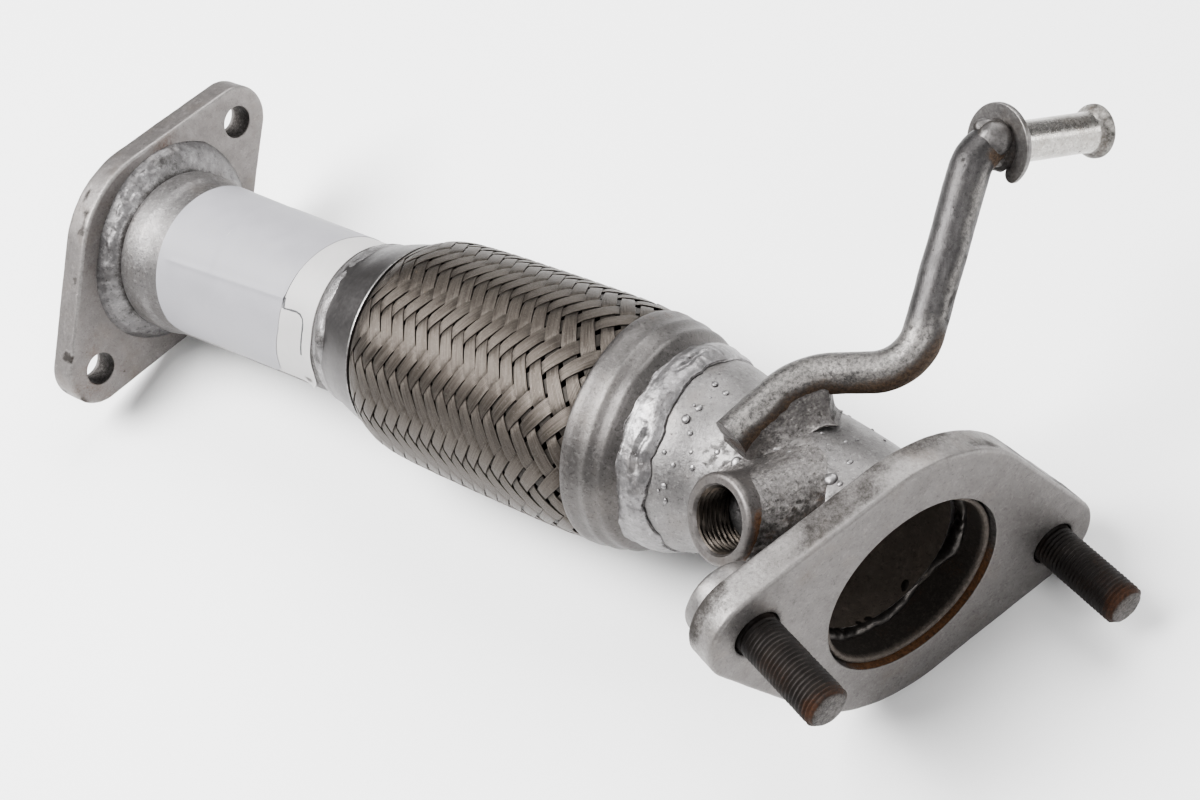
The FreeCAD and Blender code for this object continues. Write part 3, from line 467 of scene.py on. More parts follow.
M_PAPER = paper("paper_top", (0.285, 0.281, 0.300))
M_PAPER_LOW = paper("paper_low", (0.43, 0.42, 0.416))
_ink = Nodes("ink_line")
_ink.link(_ink.mix(_ink.ramp(_ink.noise(1.2, 3, 0.6), 0.3, 0.7), (0.03, 0.03, 0.032), (0.10, 0.10, 0.105)), _ink.bsdf.inputs["Base Color"])
_ink.bsdf.inputs["Roughness"].default_value = 0.6
M_INK = _ink.mat


def wire_mat(name):
    """Strand of parallel wires: UV u runs along the strand, v across it."""
    k = Nodes(name)
    sep = k.t.nodes.new("ShaderNodeSeparateXYZ")
    k.link(k.uv, sep.inputs[0])
    u, v = sep.outputs[0], sep.outputs[1]
    wires = 10.0
    ph = k.math("MULTIPLY", v, wires)
    prof = k.math("ABSOLUTE", k.math("SINE", k.math("MULTIPLY", ph, math.pi)))
    prof = k.math("POWER", prof, 0.5)
    # each wire's own tone, changing slowly along it
    cmb = k.t.nodes.new("ShaderNodeCombineXYZ")
    k.link(k.math("MULTIPLY", u, 0.05), cmb.inputs[0])
    k.link(k.math("FLOOR", ph), cmb.inputs[1])
    k.link(k.attr("strand"), cmb.inputs[2])
    tn = k.t.nodes.new("ShaderNodeTexNoise")
    tn.inputs["Scale"].default_value = 1.7
    tn.inputs["Detail"].default_value = 2.0
    k.link(cmb.outputs[0], tn.inputs["Vector"])
    tone = tn.outputs["Fac"]
    big = k.noise(16.0, 3, 0.6, seed=3.3)
    col = k.mix(k.ramp(tone, 0.3, 0.7), (0.060, 0.052, 0.045), (0.104, 0.092, 0.081))
    col = k.mix(k.ramp(big, 0.35, 0.65, 0.0, 0.40), col, (0.062, 0.053, 0.046))
    # soft lines between the wires, and painted shade where strands dive under
    line = k.ramp(prof, 0.72, 0.20)
    split = k.ramp(k.noise(9.0, 3, 0.6, seed=12.0), 0.58, 0.68)
    lf = k.math("MULTIPLY", line, k.math("ADD", 0.28, k.math("MULTIPLY", split, 0.6)))
    col = k.mix(lf, col, (0.03, 0.026, 0.022))
    grit = k.ramp(k.noise(0.8, 3, 0.7, seed=41.0), 0.52, 0.70)
    col = k.mix(k.math("MULTIPLY", grit, 0.45), col, (0.045, 0.039, 0.034))
    glint = k.ramp(k.noise(0.6, 3, 0.7, seed=43.0), 0.55, 0.70)
    col = k.mix(k.math("MULTIPLY", glint, 0.30), col, (0.20, 0.185, 0.17))
    # painted shade where a strand dives under the one it crosses, and along its edges; it also lowers the metallic
    low_shade = k.math("MULTIPLY", k.attr("low"), 0.85)
    col = k.mix(low_shade, col, (0.014, 0.012, 0.010))
    rustf = k.math("MULTIPLY", k.ramp(k.noise(5.0, 4, 0.7, seed=19.0), 0.66, 0.80), 0.45)
    col = k.mix(rustf, col, (0.20, 0.13, 0.075))
    sf = k.math("MULTIPLY", k.attr("soot"), 0.9, clamp=True)
    col = k.mix(sf, col, (0.03, 0.027, 0.024))
    k.link(col, k.bsdf.inputs["Base Color"])
    k.link(k.math("SUBTRACT", 0.92, k.math("MULTIPLY", low_shade, 0.6)), k.bsdf.inputs["Metallic"])
    k.link(k.ramp(tone, 0.2, 0.8, 0.36, 0.50), k.bsdf.inputs["Roughness"])
    h = k.math("ADD", prof, k.math("MULTIPLY", k.noise(0.7, 4, 0.75, seed=2.0), 0.9))
    k.link(k.bump(h, 0.8, 0.08), k.bsdf.inputs["Normal"])
    k.bsdf.inputs["Specular IOR Level"].default_value = 0.22
    return k.mat


M_WIRE = wire_mat("braid_wire")

# -------------------------------------------------------------------- plates


def hull(half, R, r, n=220):
    """Outline of a two-bolt plate: points and outward normals, evenly spaced."""
    al = math.asin((R - r) / half)
    pts, nrm = [], []

    def arc(cx, rad, a0, a1):
        m = max(6, int(abs(a1 - a0) * rad / 0.9))
        for t in np.linspace(a0, a1, m, endpoint=False):
            pts.append((cx + rad * math.cos(t), rad * math.sin(t)))
            nrm.append((math.cos(t), math.sin(t)))

    def line(p, q, a):
        p, q = np.array(p), np.array(q)
        m = max(2, int(np.linalg.norm(q - p) / 1.2))
        for t in range(m):
            pts.append(tuple(p + (q - p) * t / m))
            nrm.append((math.cos(a), math.sin(a)))

    up = math.pi / 2
    a1, a2 = up - al, up + al
    on = lambda cx, rad, a: (cx + rad * math.cos(a), rad * math.sin(a))
    arc(half, r, -a1, a1)
    line(on(half, r, a1), on(0, R, a1), a1)
    arc(0, R, a1, a2)
    line(on(0, R, a2), on(-half, r, a2), a2)
    arc(-half, r, a2, 2 * math.pi - a2)
    line(on(-half, r, -a2), on(0, R, -a2), -a2)
    arc(0, R, -a2, -a1)
    line(on(0, R, -a1), on(half, r, -a1), -a1)
    return np.array(pts), np.array(nrm)


def plate(name, node, half, R, r, thick, bore, holes, hole_r, place, mat, edge=0.9, seed=0, attrs=None, wobble=0.25):
    """Plate in its own (a, b, depth) frame, depth 0 at the front face, negative behind."""
    out, nor = hull(half, R, r)
    n = len(out)
    parts = []
    prof = []                      # (inset, depth)
    m = 4
    for k in range(m + 1):
        a = k / m * math.pi / 2
        prof.append((edge * (1 - math.sin(a)), -edge * (1 - math.cos(a))))
    flank = [(0.0, -edge - (thick - 2 * edge) * t) for t in np.linspace(0, 1, 7)][1:-1]
    prof += flank
    for k in range(m + 1):
        a = math.pi / 2 * (1 - k / m)
        prof.append((edge * (1 - math.sin(a)), -thick + edge * (1 - math.cos(a))))
    prof = np.array(prof)
    G = np.zeros((len(prof), n, 3))
    for i, (ins, dep) in enumerate(prof):
        G[i, :, :2] = out - nor * ins
        G[i, :, 2] = dep
    noi = fbm(G, 7.0, 3, seed) * wobble * 0.5 + fbm(G, 2.2, 2, seed + 5) * wobble * 0.35
    for i in range(1, len(prof) - 1):
        G[i, :, :2] += nor * (noi[i][:, None] - 0.1)
    gv = G.reshape(-1, 3)
    gf = quads(len(prof), n, False, True, flip=True)
    parts.append((gv, gf.tolist()))
    # bores: short cylinders with a small broken edge
    circ = []
    for (cx, cy, cr, seg) in [(0, 0, bore, 160)] + [(hx, hy, hole_r, 56) for hx, hy in holes]:
        t = np.arange(seg) / seg * 2 * math.pi
        e = 0.35
        rows = [(cr + e, 0.0), (cr + e * 0.3, -e * 0.3), (cr, -e)] + [(cr, -thick * q) for q in (0.2, 0.4, 0.6, 0.8)] + [(cr, -thick + e), (cr + e * 0.3, -thick + e * 0.3), (cr + e, -thick)]
        g = np.array([[(cx + rr * math.cos(a), cy + rr * math.sin(a), dd) for a in t] for rr, dd in rows])
        parts.append((g.reshape(-1, 3), quads(len(rows), seg, False, True).tolist()))
        circ.append((cx, cy, cr + e, t))
    # flat faces: constrained triangulation with inner points
    step = 2.2
    xs = np.arange(-half - r, half + r, step)
    ys = np.arange(-R, R, step)
    for dep, ins, flip in ((0.0, prof[0][0], False), (-thick, prof[-1][0], True)):
        loop = out - nor * ins
        verts = [Vector(p) for p in loop]
        edges = [(i, (i + 1) % n) for i in range(n)]
        for cx, cy, cr, t in circ:
            b = len(verts)
            verts += [Vector((cx + cr * math.cos(a), cy + cr * math.sin(a))) for a in t]
            edges += [(b + i, b + (i + 1) % len(t)) for i in range(len(t))]
        for i, x in enumerate(xs):
            for j, y in enumerate(ys):
                px, py = x + (0.5 * step if j % 2 else 0) + 0.37, y + 0.21
                p = np.array([px, py])
                d = (out - p)
                q = np.argmin((d ** 2).sum(1))
                if (d[q] @ nor[q]) < ins + 1.0:
                    continue
                if any(math.hypot(px - cx, py - cy) < cr + 1.0 for cx, cy, cr, _ in circ):
                    continue
                verts.append(Vector((px, py)))
        vo, eo, fo, *_ = delaunay_2d_cdt(verts, edges, [], 1, 1e-6)
        V = np.array([(v.x, v.y, dep) for v in vo])
        F = []
        for f in fo:
            c = V[list(f)].mean(0)
            if any(math.hypot(c[0] - cx, c[1] - cy) < cr * 0.999 for cx, cy, cr, _ in circ):
                continue
            F.append(list(f)[::-1] if flip else list(f))
        parts.append((V, F))
    vs, fs, k = [], [], 0
    for v, f in parts:
        vs.append(np.asarray(v))
        fs += [[i + k for i in face] for face in f]
        k += len(v)
    L = np.vstack(vs)
    at = {key: fn(L) for key, fn in (attrs or {}).items()}
    return make(name, place(L), fs, mat, node, attrs=at, sharp=38)


TR = math.radians(13.3)


def place_rear(L):
    # outer face of the rear plate looks towards -X; depth runs into the part
    a, b, d = L[:, 0], L[:, 1], L[:, 2]
    y = a * math.cos(TR) - b * math.sin(TR)
    z = a * math.sin(TR) + b * math.cos(TR)
    return np.stack([-d, y, z], -1)[:, :]


def edge_dist(L, half, R, r):
    """Distance inside the outline, in the plate's plane."""
    out, nor = hull(half, R, r)
    res = np.empty(len(L))
    for i in range(0, len(L), 4000):
        p = L[i:i + 4000, None, :2]
        d = np.sqrt(((p - out[None]) ** 2).sum(-1))
        res[i:i + 4000] = d.min(1)
    return res


def rear_wear(L):
    e = edge_dist(L, 48.7, 36.6, 12.8)
    near_edge = (1 - smooth(0.4, 1.6, e)) * (1 - smooth(-2.5, -1.2, L[:, 2]) * 0) * smooth(0.2, 1.4, np.minimum(-L[:, 2], L[:, 2] + 9.5)) * 0
    rim = (1 - smooth(0.2, 1.2, np.minimum(np.abs(L[:, 2]), np.abs(L[:, 2] + 9.5)))) * (1 - smooth(0.3, 1.6, e))
    return rim * 0.9 + near_edge


def rear_soot_and_hole_shade(L):
    r = np.hypot(L[:, 0], L[:, 1])
    back = (L[:, 2] < -9.3)
    e = edge_dist(L, 48.7, 36.6, 12.8)
    # hole: the darker bolt-hole walls are painted shade
    hole = 0
    for sgn in (1, -1):
        q = np.hypot(L[:, 0] - sgn * 48.7, L[:, 1])
        hole = hole + np.where((q < 5.9) & (L[:, 2] < -0.4), 0.75, 0.0) * (L[:, 2] > -9.3)
    chips = 0.75 * smooth(0.72, 0.84, vnoise(L / 3.4, 31)) * (1 - smooth(0.3, 1.8, e))
    return np.where(back, 0.30 * (1 - smooth(31, 37, r)), 0.0) + 0.35 * smooth(0.5, 0.9, vnoise(L / 6.0, 3)) * (1 - smooth(0.5, 3, e)) + hole + chips


def rear_rust(L):
    # brown stain beside the weld and along the lower end
    x, y = L[:, 0], L[:, 1]
    back = np.where(L[:, 2] < -9.0, 1.0, 0.15)
    s1 = np.exp(-(((x + 26) / 9) ** 2 + ((y + 24) / 5) ** 2))
    low = smooth(20, 60, x) * 0.34
    return back * (0.50 * s1 + low * (0.4 + vnoise(L / 5.0, 8)))


plate("rear_flange_look", "rear_flange", 48.7, 36.6, 12.8, 9.5, 26.0, [(48.7, 0), (-48.7, 0)], 5.6, place_rear,
      M_PLATE_R, edge=1.1, seed=3, attrs={"wear": rear_wear, "soot": rear_soot_and_hole_shade, "rust": rear_rust})

FA = math.radians(143.39)


def place_front(L):
    a, b, d = L[:, 0], L[:, 1], L[:, 2]
    u = a * math.cos(FA) - b * math.sin(FA)
    w = a * math.sin(FA) + b * math.cos(FA)
    return front(np.stack([u, w, d], -1))


def front_wear(L):
    e = edge_dist(L, 51.75, 42.3, 14.1)
    flank = smooth(0.6, 1.6, -L[:, 2]) * smooth(0.6, 1.6, L[:, 2] + 9.5) * (1 - smooth(0.3, 1.2, e))
    rim = (1 - smooth(0.3, 1.3, np.minimum(np.abs(L[:, 2]), np.abs(L[:, 2] + 9.5)))) * (1 - smooth(0.3, 1.5, e))
    return flank * 0.55 * smooth(0.35, 0.65, vnoise(L / 8.0, 4)) + rim * 0.35


def front_soot(L):
    e = edge_dist(L, 51.75, 42.3, 14.1)
    flank = smooth(0.6, 1.6, -L[:, 2]) * (1 - smooth(0.3, 1.2, e))
    patch = 0.08 + smooth(0.46, 0.72, vnoise(L / 9.0, 21)) * 0.58 + 0.28 * smooth(0.45, 0.8, vnoise(L / 3.0, 23))
    hole = 0
    for s in (1, -1):
        hole = hole + 0.5 * (1 - smooth(7.0, 9.2, np.hypot(L[:, 0] - s * 51.75, L[:, 1]))) * (L[:, 2] > -0.5)
    bore = np.where((np.hypot(L[:, 0], L[:, 1]) < 27.9) & (L[:, 2] < -0.2), 0.65, 0.0)
    return flank * patch + hole + bore


def front_rust(L):
    r = np.hypot(L[:, 0], L[:, 1])
    w = L[:, 0] * math.sin(FA) + L[:, 1] * math.cos(FA)
    return np.where((r < 28.0) & (L[:, 2] < -0.3), 0.9, 0.0) * smooth(5.0, 19.0, w)


plate("front_flange_look", "front_flange", 51.75, 42.3, 14.1, 9.5, 27.4, [(51.75, 0), (-51.75, 0)], 6.6, place_front,
      M_PLATE_F, edge=1.0, seed=11, attrs={"wear": front_wear, "soot": front_soot, "rust": front_rust})


# ------------------------------------------------------------- rear assembly
def rear_tube_disp(X, R, T):
    P = xyz(X, R, T)
    return 0 * X, fbm(P, 12.0, 2, 5) * 0.08


revolve("rear_pipe_look", [
    (0.6, 26.0), (16.2, 26.0), (16.9, 26.6), (18.0, 27.55), (19.5, 27.75), (24.5, 27.72), (26.2, 27.5), (27.6, 26.8), (29.0, 26.55),
    (34.5, 26.42), (58, 25.75), (93, 25.2), (105.8, 25.05), (108.5, 25.0), (119, 25.0), (119, 23.5), (108.5, 23.5), (93, 23.7),
    (58, 24.25), (34.5, 24.92), (28, 25.1), (25.4, 26.2), (18.4, 26.2), (16.6, 24.5), (0.6, 24.5)],
    M_PIPE, "rear_pipe", nseg=192, step=3.0, disp=rear_tube_disp, sharp=40,
    attrs={"rust": lambda X, R, T, P: np.where(R < 25.6, 0.35, 0.0) * (X < 60),
           "soot": lambda X, R, T, P: np.where((R < 25.6) & (X > 1), 0.55, 0.0) + 0.55 * np.exp(-((X - 16.6) / 0.8) ** 2),
           "wear": lambda X, R, T, P: 0.22 * np.exp(-((X - 22.0) / 2.5) ** 2) * (R > 27)})

WT = np.array([-212, -153, -122, -98, -73, -46, -21, 1, 20, 60, 100, 148]) * DEG
WR = np.array([35.0, 37.0, 34.3, 32.2, 30.5, 30.0, 32.1, 33.8, 34.1, 32.5, 33.5, 35.0])


def wrap_interp(T, ts, rs):
    t = (np.asarray(T) + 212 * DEG) % (2 * math.pi) - 212 * DEG
    return np.interp(t, ts, rs)


def rear_weld_disp(X, R, T):
    k = smooth(26.2, 31.8, R)
    want = wrap_interp(T, WT, WR)
    dr = k * (want - 31.8)
    P = xyz(X, R, T)
    tq = np.where(T > math.pi, T - 2 * math.pi, T) / DEG
    rough = 0.45 + 0.55 * np.exp(-((tq + 115) / 45.0) ** 2)
    lump = (fbm(P, 5.2, 3, 41) * 0.70 + fbm(P, 1.7, 2, 44) * 0.22) * rough
    free = smooth(9.6, 10.6, X) * smooth(26.05, 26.6, R)
    rip = 0.22 * np.sin(T * 31.0 * 2.7 / 2 + 2.2 * np.sin(T * 3)) * free
    tn = np.where(T > math.pi, T - 2 * math.pi, T) / DEG
    hump = np.exp(-((X - 13.4) / 1.8) ** 2) * (0.6 + 0.9 * np.exp(-((tn + 90) / 42.0) ** 2) * fbm(P, 2.6, 2, 48) * 1.6)
    return free * lump * 0.45, dr + free * (lump * 0.55 + 0.3 * rip + hump + fbm(P, 0.9, 2, 49) * 0.14)


prof = [(9.45, 26.0), (9.45, 31.9), (9.9, 31.7), (11.0, 31.0), (12.2, 30.2), (13.2, 29.2), (14.2, 28.4), (15.1, 27.5), (15.9, 26.7), (16.6, 26.0)]
revolve("rear_flange_weld_look", prof, M_WELD_PALE, "rear_flange_weld", nseg=420, step=0.6, disp=rear_weld_disp, sharp=60,
        attrs={"soot": lambda X, R, T, P: 0.30 * smooth(0.60, 0.9, vnoise(P / 2.4, 77)) * smooth(12.0, 14.5, X) + 0.75 * np.exp(-((X - 16.2) / 1.1) ** 2) + 0.30 * np.exp(-((X - 9.6) / 0.6) ** 2) + 0.75 * np.exp(-((X - 13.0) / 1.6) ** 2) * np.exp(-((np.where(T > math.pi, T - 2 * math.pi, T) / DEG + 118) / 7.0) ** 2),
               "wear": lambda X, R, T, P: 0.02 + 0.75 * smooth(-2.9, -2.4, np.where(T > math.pi, T - 2 * math.pi, T)) * (1 - smooth(-1.5, -1.1, np.where(T > math.pi, T - 2 * math.pi, T))) * smooth(11.5, 13.0, X) * smooth(0.3, 0.6, vnoise(P / 2.2, 71))})


# labels: thin sheets wrapped on the tube
def tube_r(x):
    return np.interp(x, [28, 34.5, 58, 93, 105.8, 119], [26.55, 26.42, 25.75, 25.2, 25.05, 25.0])


def label(name, node, x0, right, t0, t1, lift, mat, seed, corner=6.0, extra=None, nx=90, nt=210, step_lift=None, soot=None):
    """Sheet over angles t0..t1 (degrees) from x0 to right(theta); closed thin solid."""
    T1 = np.linspace(t0, t1, nt) * DEG
    S = np.linspace(0, 1, nx)
    X = np.zeros((nx, nt))
    TH = np.repeat(T1[None, :], nx, 0)
    for j, t in enumerate(T1):
        xr = right(t / DEG)
        xl = x0
        for end, sgn in ((t1 * DEG, 1), (t0 * DEG, -1)):
            d = abs(end - t) * 26.0
            if d < corner:
                c = corner - math.sqrt(max(corner ** 2 - (corner - d) ** 2, 0))
                xl += c * 0.999
                xr -= c * 0.75
        X[:, j] = xl + (xr - xl) * S
    base = tube_r(X)
    P = xyz(X, base, TH)
    wav = 0.05 + 0.06 * fbm(P, 16.0, 2, seed) + 0.02 * fbm(P, 4.0, 2, seed + 3)
    L = lift(X, TH) + np.maximum(wav, 0.0) * 0.6
    edge = np.minimum.reduce([(X - X[0:1]), (X[-1:] - X)])
    # edges lift a little here and there
    L = L + 0.10 * np.exp(-(edge / 1.2) ** 2) * smooth(0.45, 0.75, vnoise(P / 9.0, seed + 9))
    if extra is not None:
        L = L + extra(X, TH)
    top = xyz(X, base + L + 0.11, TH)
    bot = xyz(X, base + np.maximum(L - 0.02, 0.01), TH)
    n = nx * nt
    V = np.vstack([top.reshape(-1, 3), bot.reshape(-1, 3)])
    f = quads(nx, nt).tolist() + [q[::-1] for q in quads(nx, nt, base=n).tolist()]
    rim = [i * nt for i in range(nx)] + [(nx - 1) * nt + j for j in range(1, nt)] + [i * nt + nt - 1 for i in range(nx - 2, -1, -1)] + [j for j in range(nt - 2, 0, -1)]
    m = len(rim)
    for q in range(m):
        a, b = rim[q], rim[(q + 1) % m]
        f.append([b, a, a + n, b + n])
    so = (soot(X, TH) if soot else np.zeros_like(X)).ravel()
    return make(name, V, f, mat, node, attrs={"soot": np.concatenate([so, so])}, sharp=50)


def up_right(t):
    return float(np.interp(t, [-220, -134, -112, -83, -56, -37, -2.5, 10], [96, 96, 94.7, 92.8, 91.7, 91.3, 87.3, 86.5]))


def low_right(t):
    return float(np.interp(t, [-220, -40, -10, 7, 10], [105.7, 105.7, 104.2, 101.9, 101.5]))


def crease(X, TH):
    """Ridge line of the upper label near -58 degrees."""
    t = TH / DEG
    c = -56 - 5 * (X - 37.6) / 57.0
    return 0.46 * np.exp(-np.abs((t - c) / 1.7) ** 1.3) * smooth(36, 42, X)


label("label_lower_look", "label_lower", 58.0, low_right, -220, 9, lambda X, T: 1.5 * np.exp(-((X - 101.5) / 3.5) ** 2 - ((T / DEG - 9.0) / 5.5) ** 2), M_PAPER_LOW, 61, corner=3.0, nx=60,
      soot=lambda X, T: 0.95 * np.exp(-(((X - 99.2) / 2.2) ** 2 + ((T / DEG - 1.5) / 3.6) ** 2)) + 0.35 * np.exp(-((X - 105.2) / 0.5) ** 2) * smooth(0.4, 0.7, vnoise(xyz(X, 25 + 0 * X, T) / 4.0, 4)))
label("label_upper_look", "label_upper", 34.5, up_right, -220, 9, lambda X, T: 0.14 * smooth(57.0, 60.0, X), M_PAPER, 71, corner=7.0,
      extra=crease, soot=lambda X, T: 0.45 * np.exp(-(((X - 84.0) / 3.0) ** 2 + ((T / DEG - 6.5) / 2.0) ** 2)))


def ink_strip(name, pts, width):
    """Printed line on the lower label: points (x, degrees)."""
    p = dense([(a, b) for a, b in pts], 0.5)
    x, t = p[:, 0], p[:, 1] * DEG
    dx, dt = np.gradient(x), np.gradient(t) * 25.2
    ln = np.hypot(dx, dt) + 1e-9
    w = width * (0.75 + 0.5 * vnoise(np.stack([x, t * 25, 0 * x], -1) / 2.0, 5))
    ox, ot = -dt / ln * w / 2, dx / ln * w / 2 / 25.2
    V, n = [], len(x)
    for s, lift in ((1, 0.19), (-1, 0.19)):
        V.append(xyz(x + s * ox, tube_r(x) + lift + 0.025 * 0, t + s * ot))
    V = np.concatenate(V)
    F = [[i, i + 1, n + i + 1, n + i] for i in range(n - 1)]
    ob = make(name, V, F, M_INK, None, sharp=0)
    return ob


ink_strip("label_frame_line", [(92.6, -54.0), (95.5, -54.6), (98.2, -55.0), (99.9, -54.2), (101.2, -51.8), (101.7, -48.5), (101.8, -44.0), (101.6, -38.0), (101.2, -31.0), (100.8, -24.0)], 0.55)
ink_strip("label_frame_end", [(92.2, -61.5), (92.3, -58.0), (92.5, -54.0)], 0.9)


# collar at the rear of the flexible section
def collar_r_disp(X, R, T):
    P = xyz(X, R, T)
    return 0 * X, fbm(P, 14.0, 2, 91) * 0.12 + fbm(P, 3.5, 2, 92) * 0.03


revolve("rear_collar_look", [
    (108.5, 25.0), (108.5, 26.1), (109.0, 26.35), (110.5, 26.5), (112.5, 26.85), (115, 27.6), (118, 28.6), (121.0, 29.45), (124, 30.2), (126.2, 30.75),
    (126.7, 30.95), (127.0, 30.85), (127.05, 30.5), (127.0, 30.05), (126.6, 29.85), (124, 29.3), (118, 27.6), (113, 25.0)],
    M_COLLAR_R, "rear_collar", nseg=220, step=1.2, disp=collar_r_disp, sharp=45,
    attrs={"wear": lambda X, R, T, P: 1.0 * smooth(126.4, 126.9, X) * (R > 30.4),
           "soot": lambda X, R, T, P: 0.8 * smooth(126.2, 126.8, X) * (R < 30.3) + 0.35 * np.exp(-((X - 109.2) / 0.6) ** 2)})


def rear_cw_disp(X, R, T):
    P = xyz(X, R, T)
    t = np.where(T > math.pi, T - 2 * math.pi, T) / DEG
    free = smooth(25.1, 25.8, R)
    patch = np.exp(-((t + 43) / 9.0) ** 2) * np.exp(-((X - 111.0) / 2.2) ** 2)
    return 0 * X, free * (fbm(P, 3.0, 3, 12) * 0.22 - 0.45 + patch * 1.25 + 0.35 * patch * fbm(P, 2.0, 2, 8))


revolve("rear_collar_weld_look", [
    (106.3, 25.08), (106.9, 26.0), (108.2, 26.7), (109.5, 27.0), (111.1, 27.15), (112.5, 27.0), (113.2, 26.6), (112.0, 26.3), (108.5, 25.6), (108.5, 25.08)],
    M_WELD, "rear_collar_weld", nseg=260, step=0.5, disp=rear_cw_disp, sharp=60,
    attrs={"wear": lambda X, R, T, P: 0.5 * np.exp(-((np.where(T > math.pi, T - 2 * math.pi, T) / DEG + 43) / 10.0) ** 2),
           "soot": lambda X, R, T, P: 0.25 + 0.4 * smooth(0.55, 0.75, vnoise(P / 2.5, 6))})

# --------------------------------------------------------------------- braid
BX = np.array([124.0, 127, 128.2, 130, 133, 136, 139, 146, 156, 176, 196, 206, 211, 213, 215, 217.2])
BR = np.array([29.0, 29.75, 30.9, 32.1, 33.35, 34.05, 34.45, 34.85, 35.05, 35.2, 35.2, 35.0, 34.5, 33.9, 33.2, 32.6])
SX = np.array([120, 128, 136, 146, 156, 165, 174, 183, 188, 193, 199, 206, 212, 218])
SS = np.array([5.3, 5.2, 4.95, 4.9, 4.75, 4.62, 4.5, 4.5, 4.85, 5.3, 6.0, 6.9, 7.4, 7.8])
NS = 24


def braid_family(sign, seed):
    xs = np.arange(124.6, 217.0, 0.5)
    fine = np.arange(120.0, 220.0, 0.05)
    ph = np.concatenate([[0], np.cumsum(2 * math.pi / (NS * np.interp(fine[:-1], SX, SS)) * 0.05)])
    phi0 = np.interp(xs, fine, ph)
    nv = 11
    V, UV, low, strand, soot = [], [], [], [], []
    F = []
    rng = np.random.RandomState(seed)
    vv = np.array([-1.0, -0.955, -0.90, -0.6, -0.3, 0.0, 0.3, 0.6, 0.90, 0.955, 1.0])
    base = 0
    # phase that puts the changes from over to under midway between the rows of crossings
    off = math.radians(2.25)
    for i in range(NS):
        jit = 0.006 * np.interp(xs, np.linspace(124, 217, 8), rng.uniform(-1, 1, 8))
        th = sign * phi0 + i * 2 * math.pi / NS + off + jit
        # over and under: S floats are centred on -9, Z floats on -24 degrees, every 30 degrees
        cen = -9.0 if sign > 0 else -24.0
        away = (th / DEG + 16.5 + 15.0) % 30.0 - 15.0
        apex = np.exp(-(away / 6.0) ** 2)                          # 1 at the open rows of corners
        w = 3.93 * (1 - 0.155 * apex) * np.interp(np.interp(xs, SX, SS), [4.6, 6.6], [1.0, 1.14]) * (1 + 0.02 * rng.uniform(-1, 1))
        slope = np.gradient(th, xs)                                # rad per mm
        r = np.interp(xs, BX, BR)
        dr = np.gradient(r, xs)
        # unit vectors along and across the strand in the (x, arc) sheet
        ta, tb = np.ones_like(xs), r * slope
        ln = np.hypot(ta, tb)
        ax, at = -tb / ln, ta / ln                                  # across
        amp = 1 + 0.12 * rng.uniform(-1, 1)
        fr = smooth(125, 129, xs) * (1 - smooth(213, 216.5, xs))
        for k, v in enumerate(vv):
            o = v * w / 2
            X = xs + ax * o
            TH = th + at * o / r
            # the strand goes under along the edge of the strand that it crosses
            te = (TH + sign * np.interp(X, fine, ph) + i * 2 * math.pi / NS + off + jit) / 2
            c = np.cos((te / DEG - cen) / 30.0 * 2 * math.pi)
            g = 0.74 * np.tanh(5.5 * c) + 0.26 * c
            hgt = 0.24 * g * amp
            crown = -0.02 * abs(v) ** 3
            edge_drop = -0.20 if abs(v) > 0.99 else 0.0
            rr = np.interp(X, BX, BR) + hgt * (0.35 + 0.65 * fr) + crown + edge_drop + 0.04 * v
            V.append(np.stack([X, rr * np.cos(TH), rr * np.sin(TH)], -1))
            UV.append(np.stack([np.cumsum(ln) * 0.5 + i * 3.7, np.full_like(xs, (v + 1) / 2)], -1))
            # low: painted shade where the strand dips under the other family, and along its edges
            low.append(smooth(0.0, -0.8, g) * 0.9 + (0.75 if abs(v) > 0.99 else 0.0))
            strand.append(np.full_like(xs, i * 1.37 + (0 if sign > 0 else 50)))
            soot.append(smooth(128.6, 127.0, X) + 0.6 * smooth(212.2, 213.4, X))
        n = len(xs)
        q = quads(nv, n, base=base)
        F += (q if sign < 0 else q[:, ::-1]).tolist() if False else q.tolist()
        base += nv * n
    V = np.concatenate(V)
    return V, F, np.concatenate(UV), {"low": np.clip(np.concatenate(low), 0, 1), "strand": np.concatenate(strand), "soot": np.clip(np.concatenate(soot), 0, 1)}


v1, f1, u1, a1 = braid_family(1, 5)
make("braid_strands_right", v1, f1, M_WIRE, "outer_braid", uv=u1, attrs=a1, sharp=0)
v2, f2, u2, a2 = braid_family(-1, 9)
make("braid_strands_left", v2, f2, M_WIRE, "outer_braid", uv=u2, attrs=a2, sharp=0)

# bellows under the braid and the inner hose
bel_out, bel_in = [(114.2, 25.55), (121.8, 25.5), (130.0, 26.8)], []
for k in range(16):
    x = 130.0 + 5.2 * k
    bel_out += [(x + 0.5, 26.9), (x + 1.1, 28.2), (x + 1.6, 30.6), (x + 2.6, 31.05), (x + 3.6, 30.6), (x + 4.1, 28.2), (x + 4.7, 26.9)]
bel_out += [(218.0, 26.8), (222.0, 28.25), (225.4, 28.3)]
bel_in = [(x, r - 0.5) for x, r in bel_out]
# the bellows are coloured near-black as painted shade behind the braid
revolve("bellows_look", bel_out + bel_in[::-1], M_BELLOWS_SHADE, "bellows", nseg=96, sharp=0)
lin = [(112.0, 23.45), (118.5, 23.45), (120.0, 22.4)]
for k in range(23):
    x = 122.0 + 4.2 * k
    lin += [(x, 22.45), (x + 0.2, 22.95), (x + 2.0, 22.95), (x + 2.2, 22.45)]
lin += [(226.0, 22.4), (226.0, 21.8)]
for k in range(22, -1, -1):
    x = 122.0 + 4.2 * k
    lin += [(x + 3.4, 21.85), (x + 2.7, 22.25), (x + 1.9, 21.85)]
lin += [(112.0, 21.8)]
revolve("inner_liner_look", lin, M_INNER, "inner_liner", nseg=128, sharp=30,
        attrs={"soot": lambda X, R, T, P: 0.4 + 0 * X})


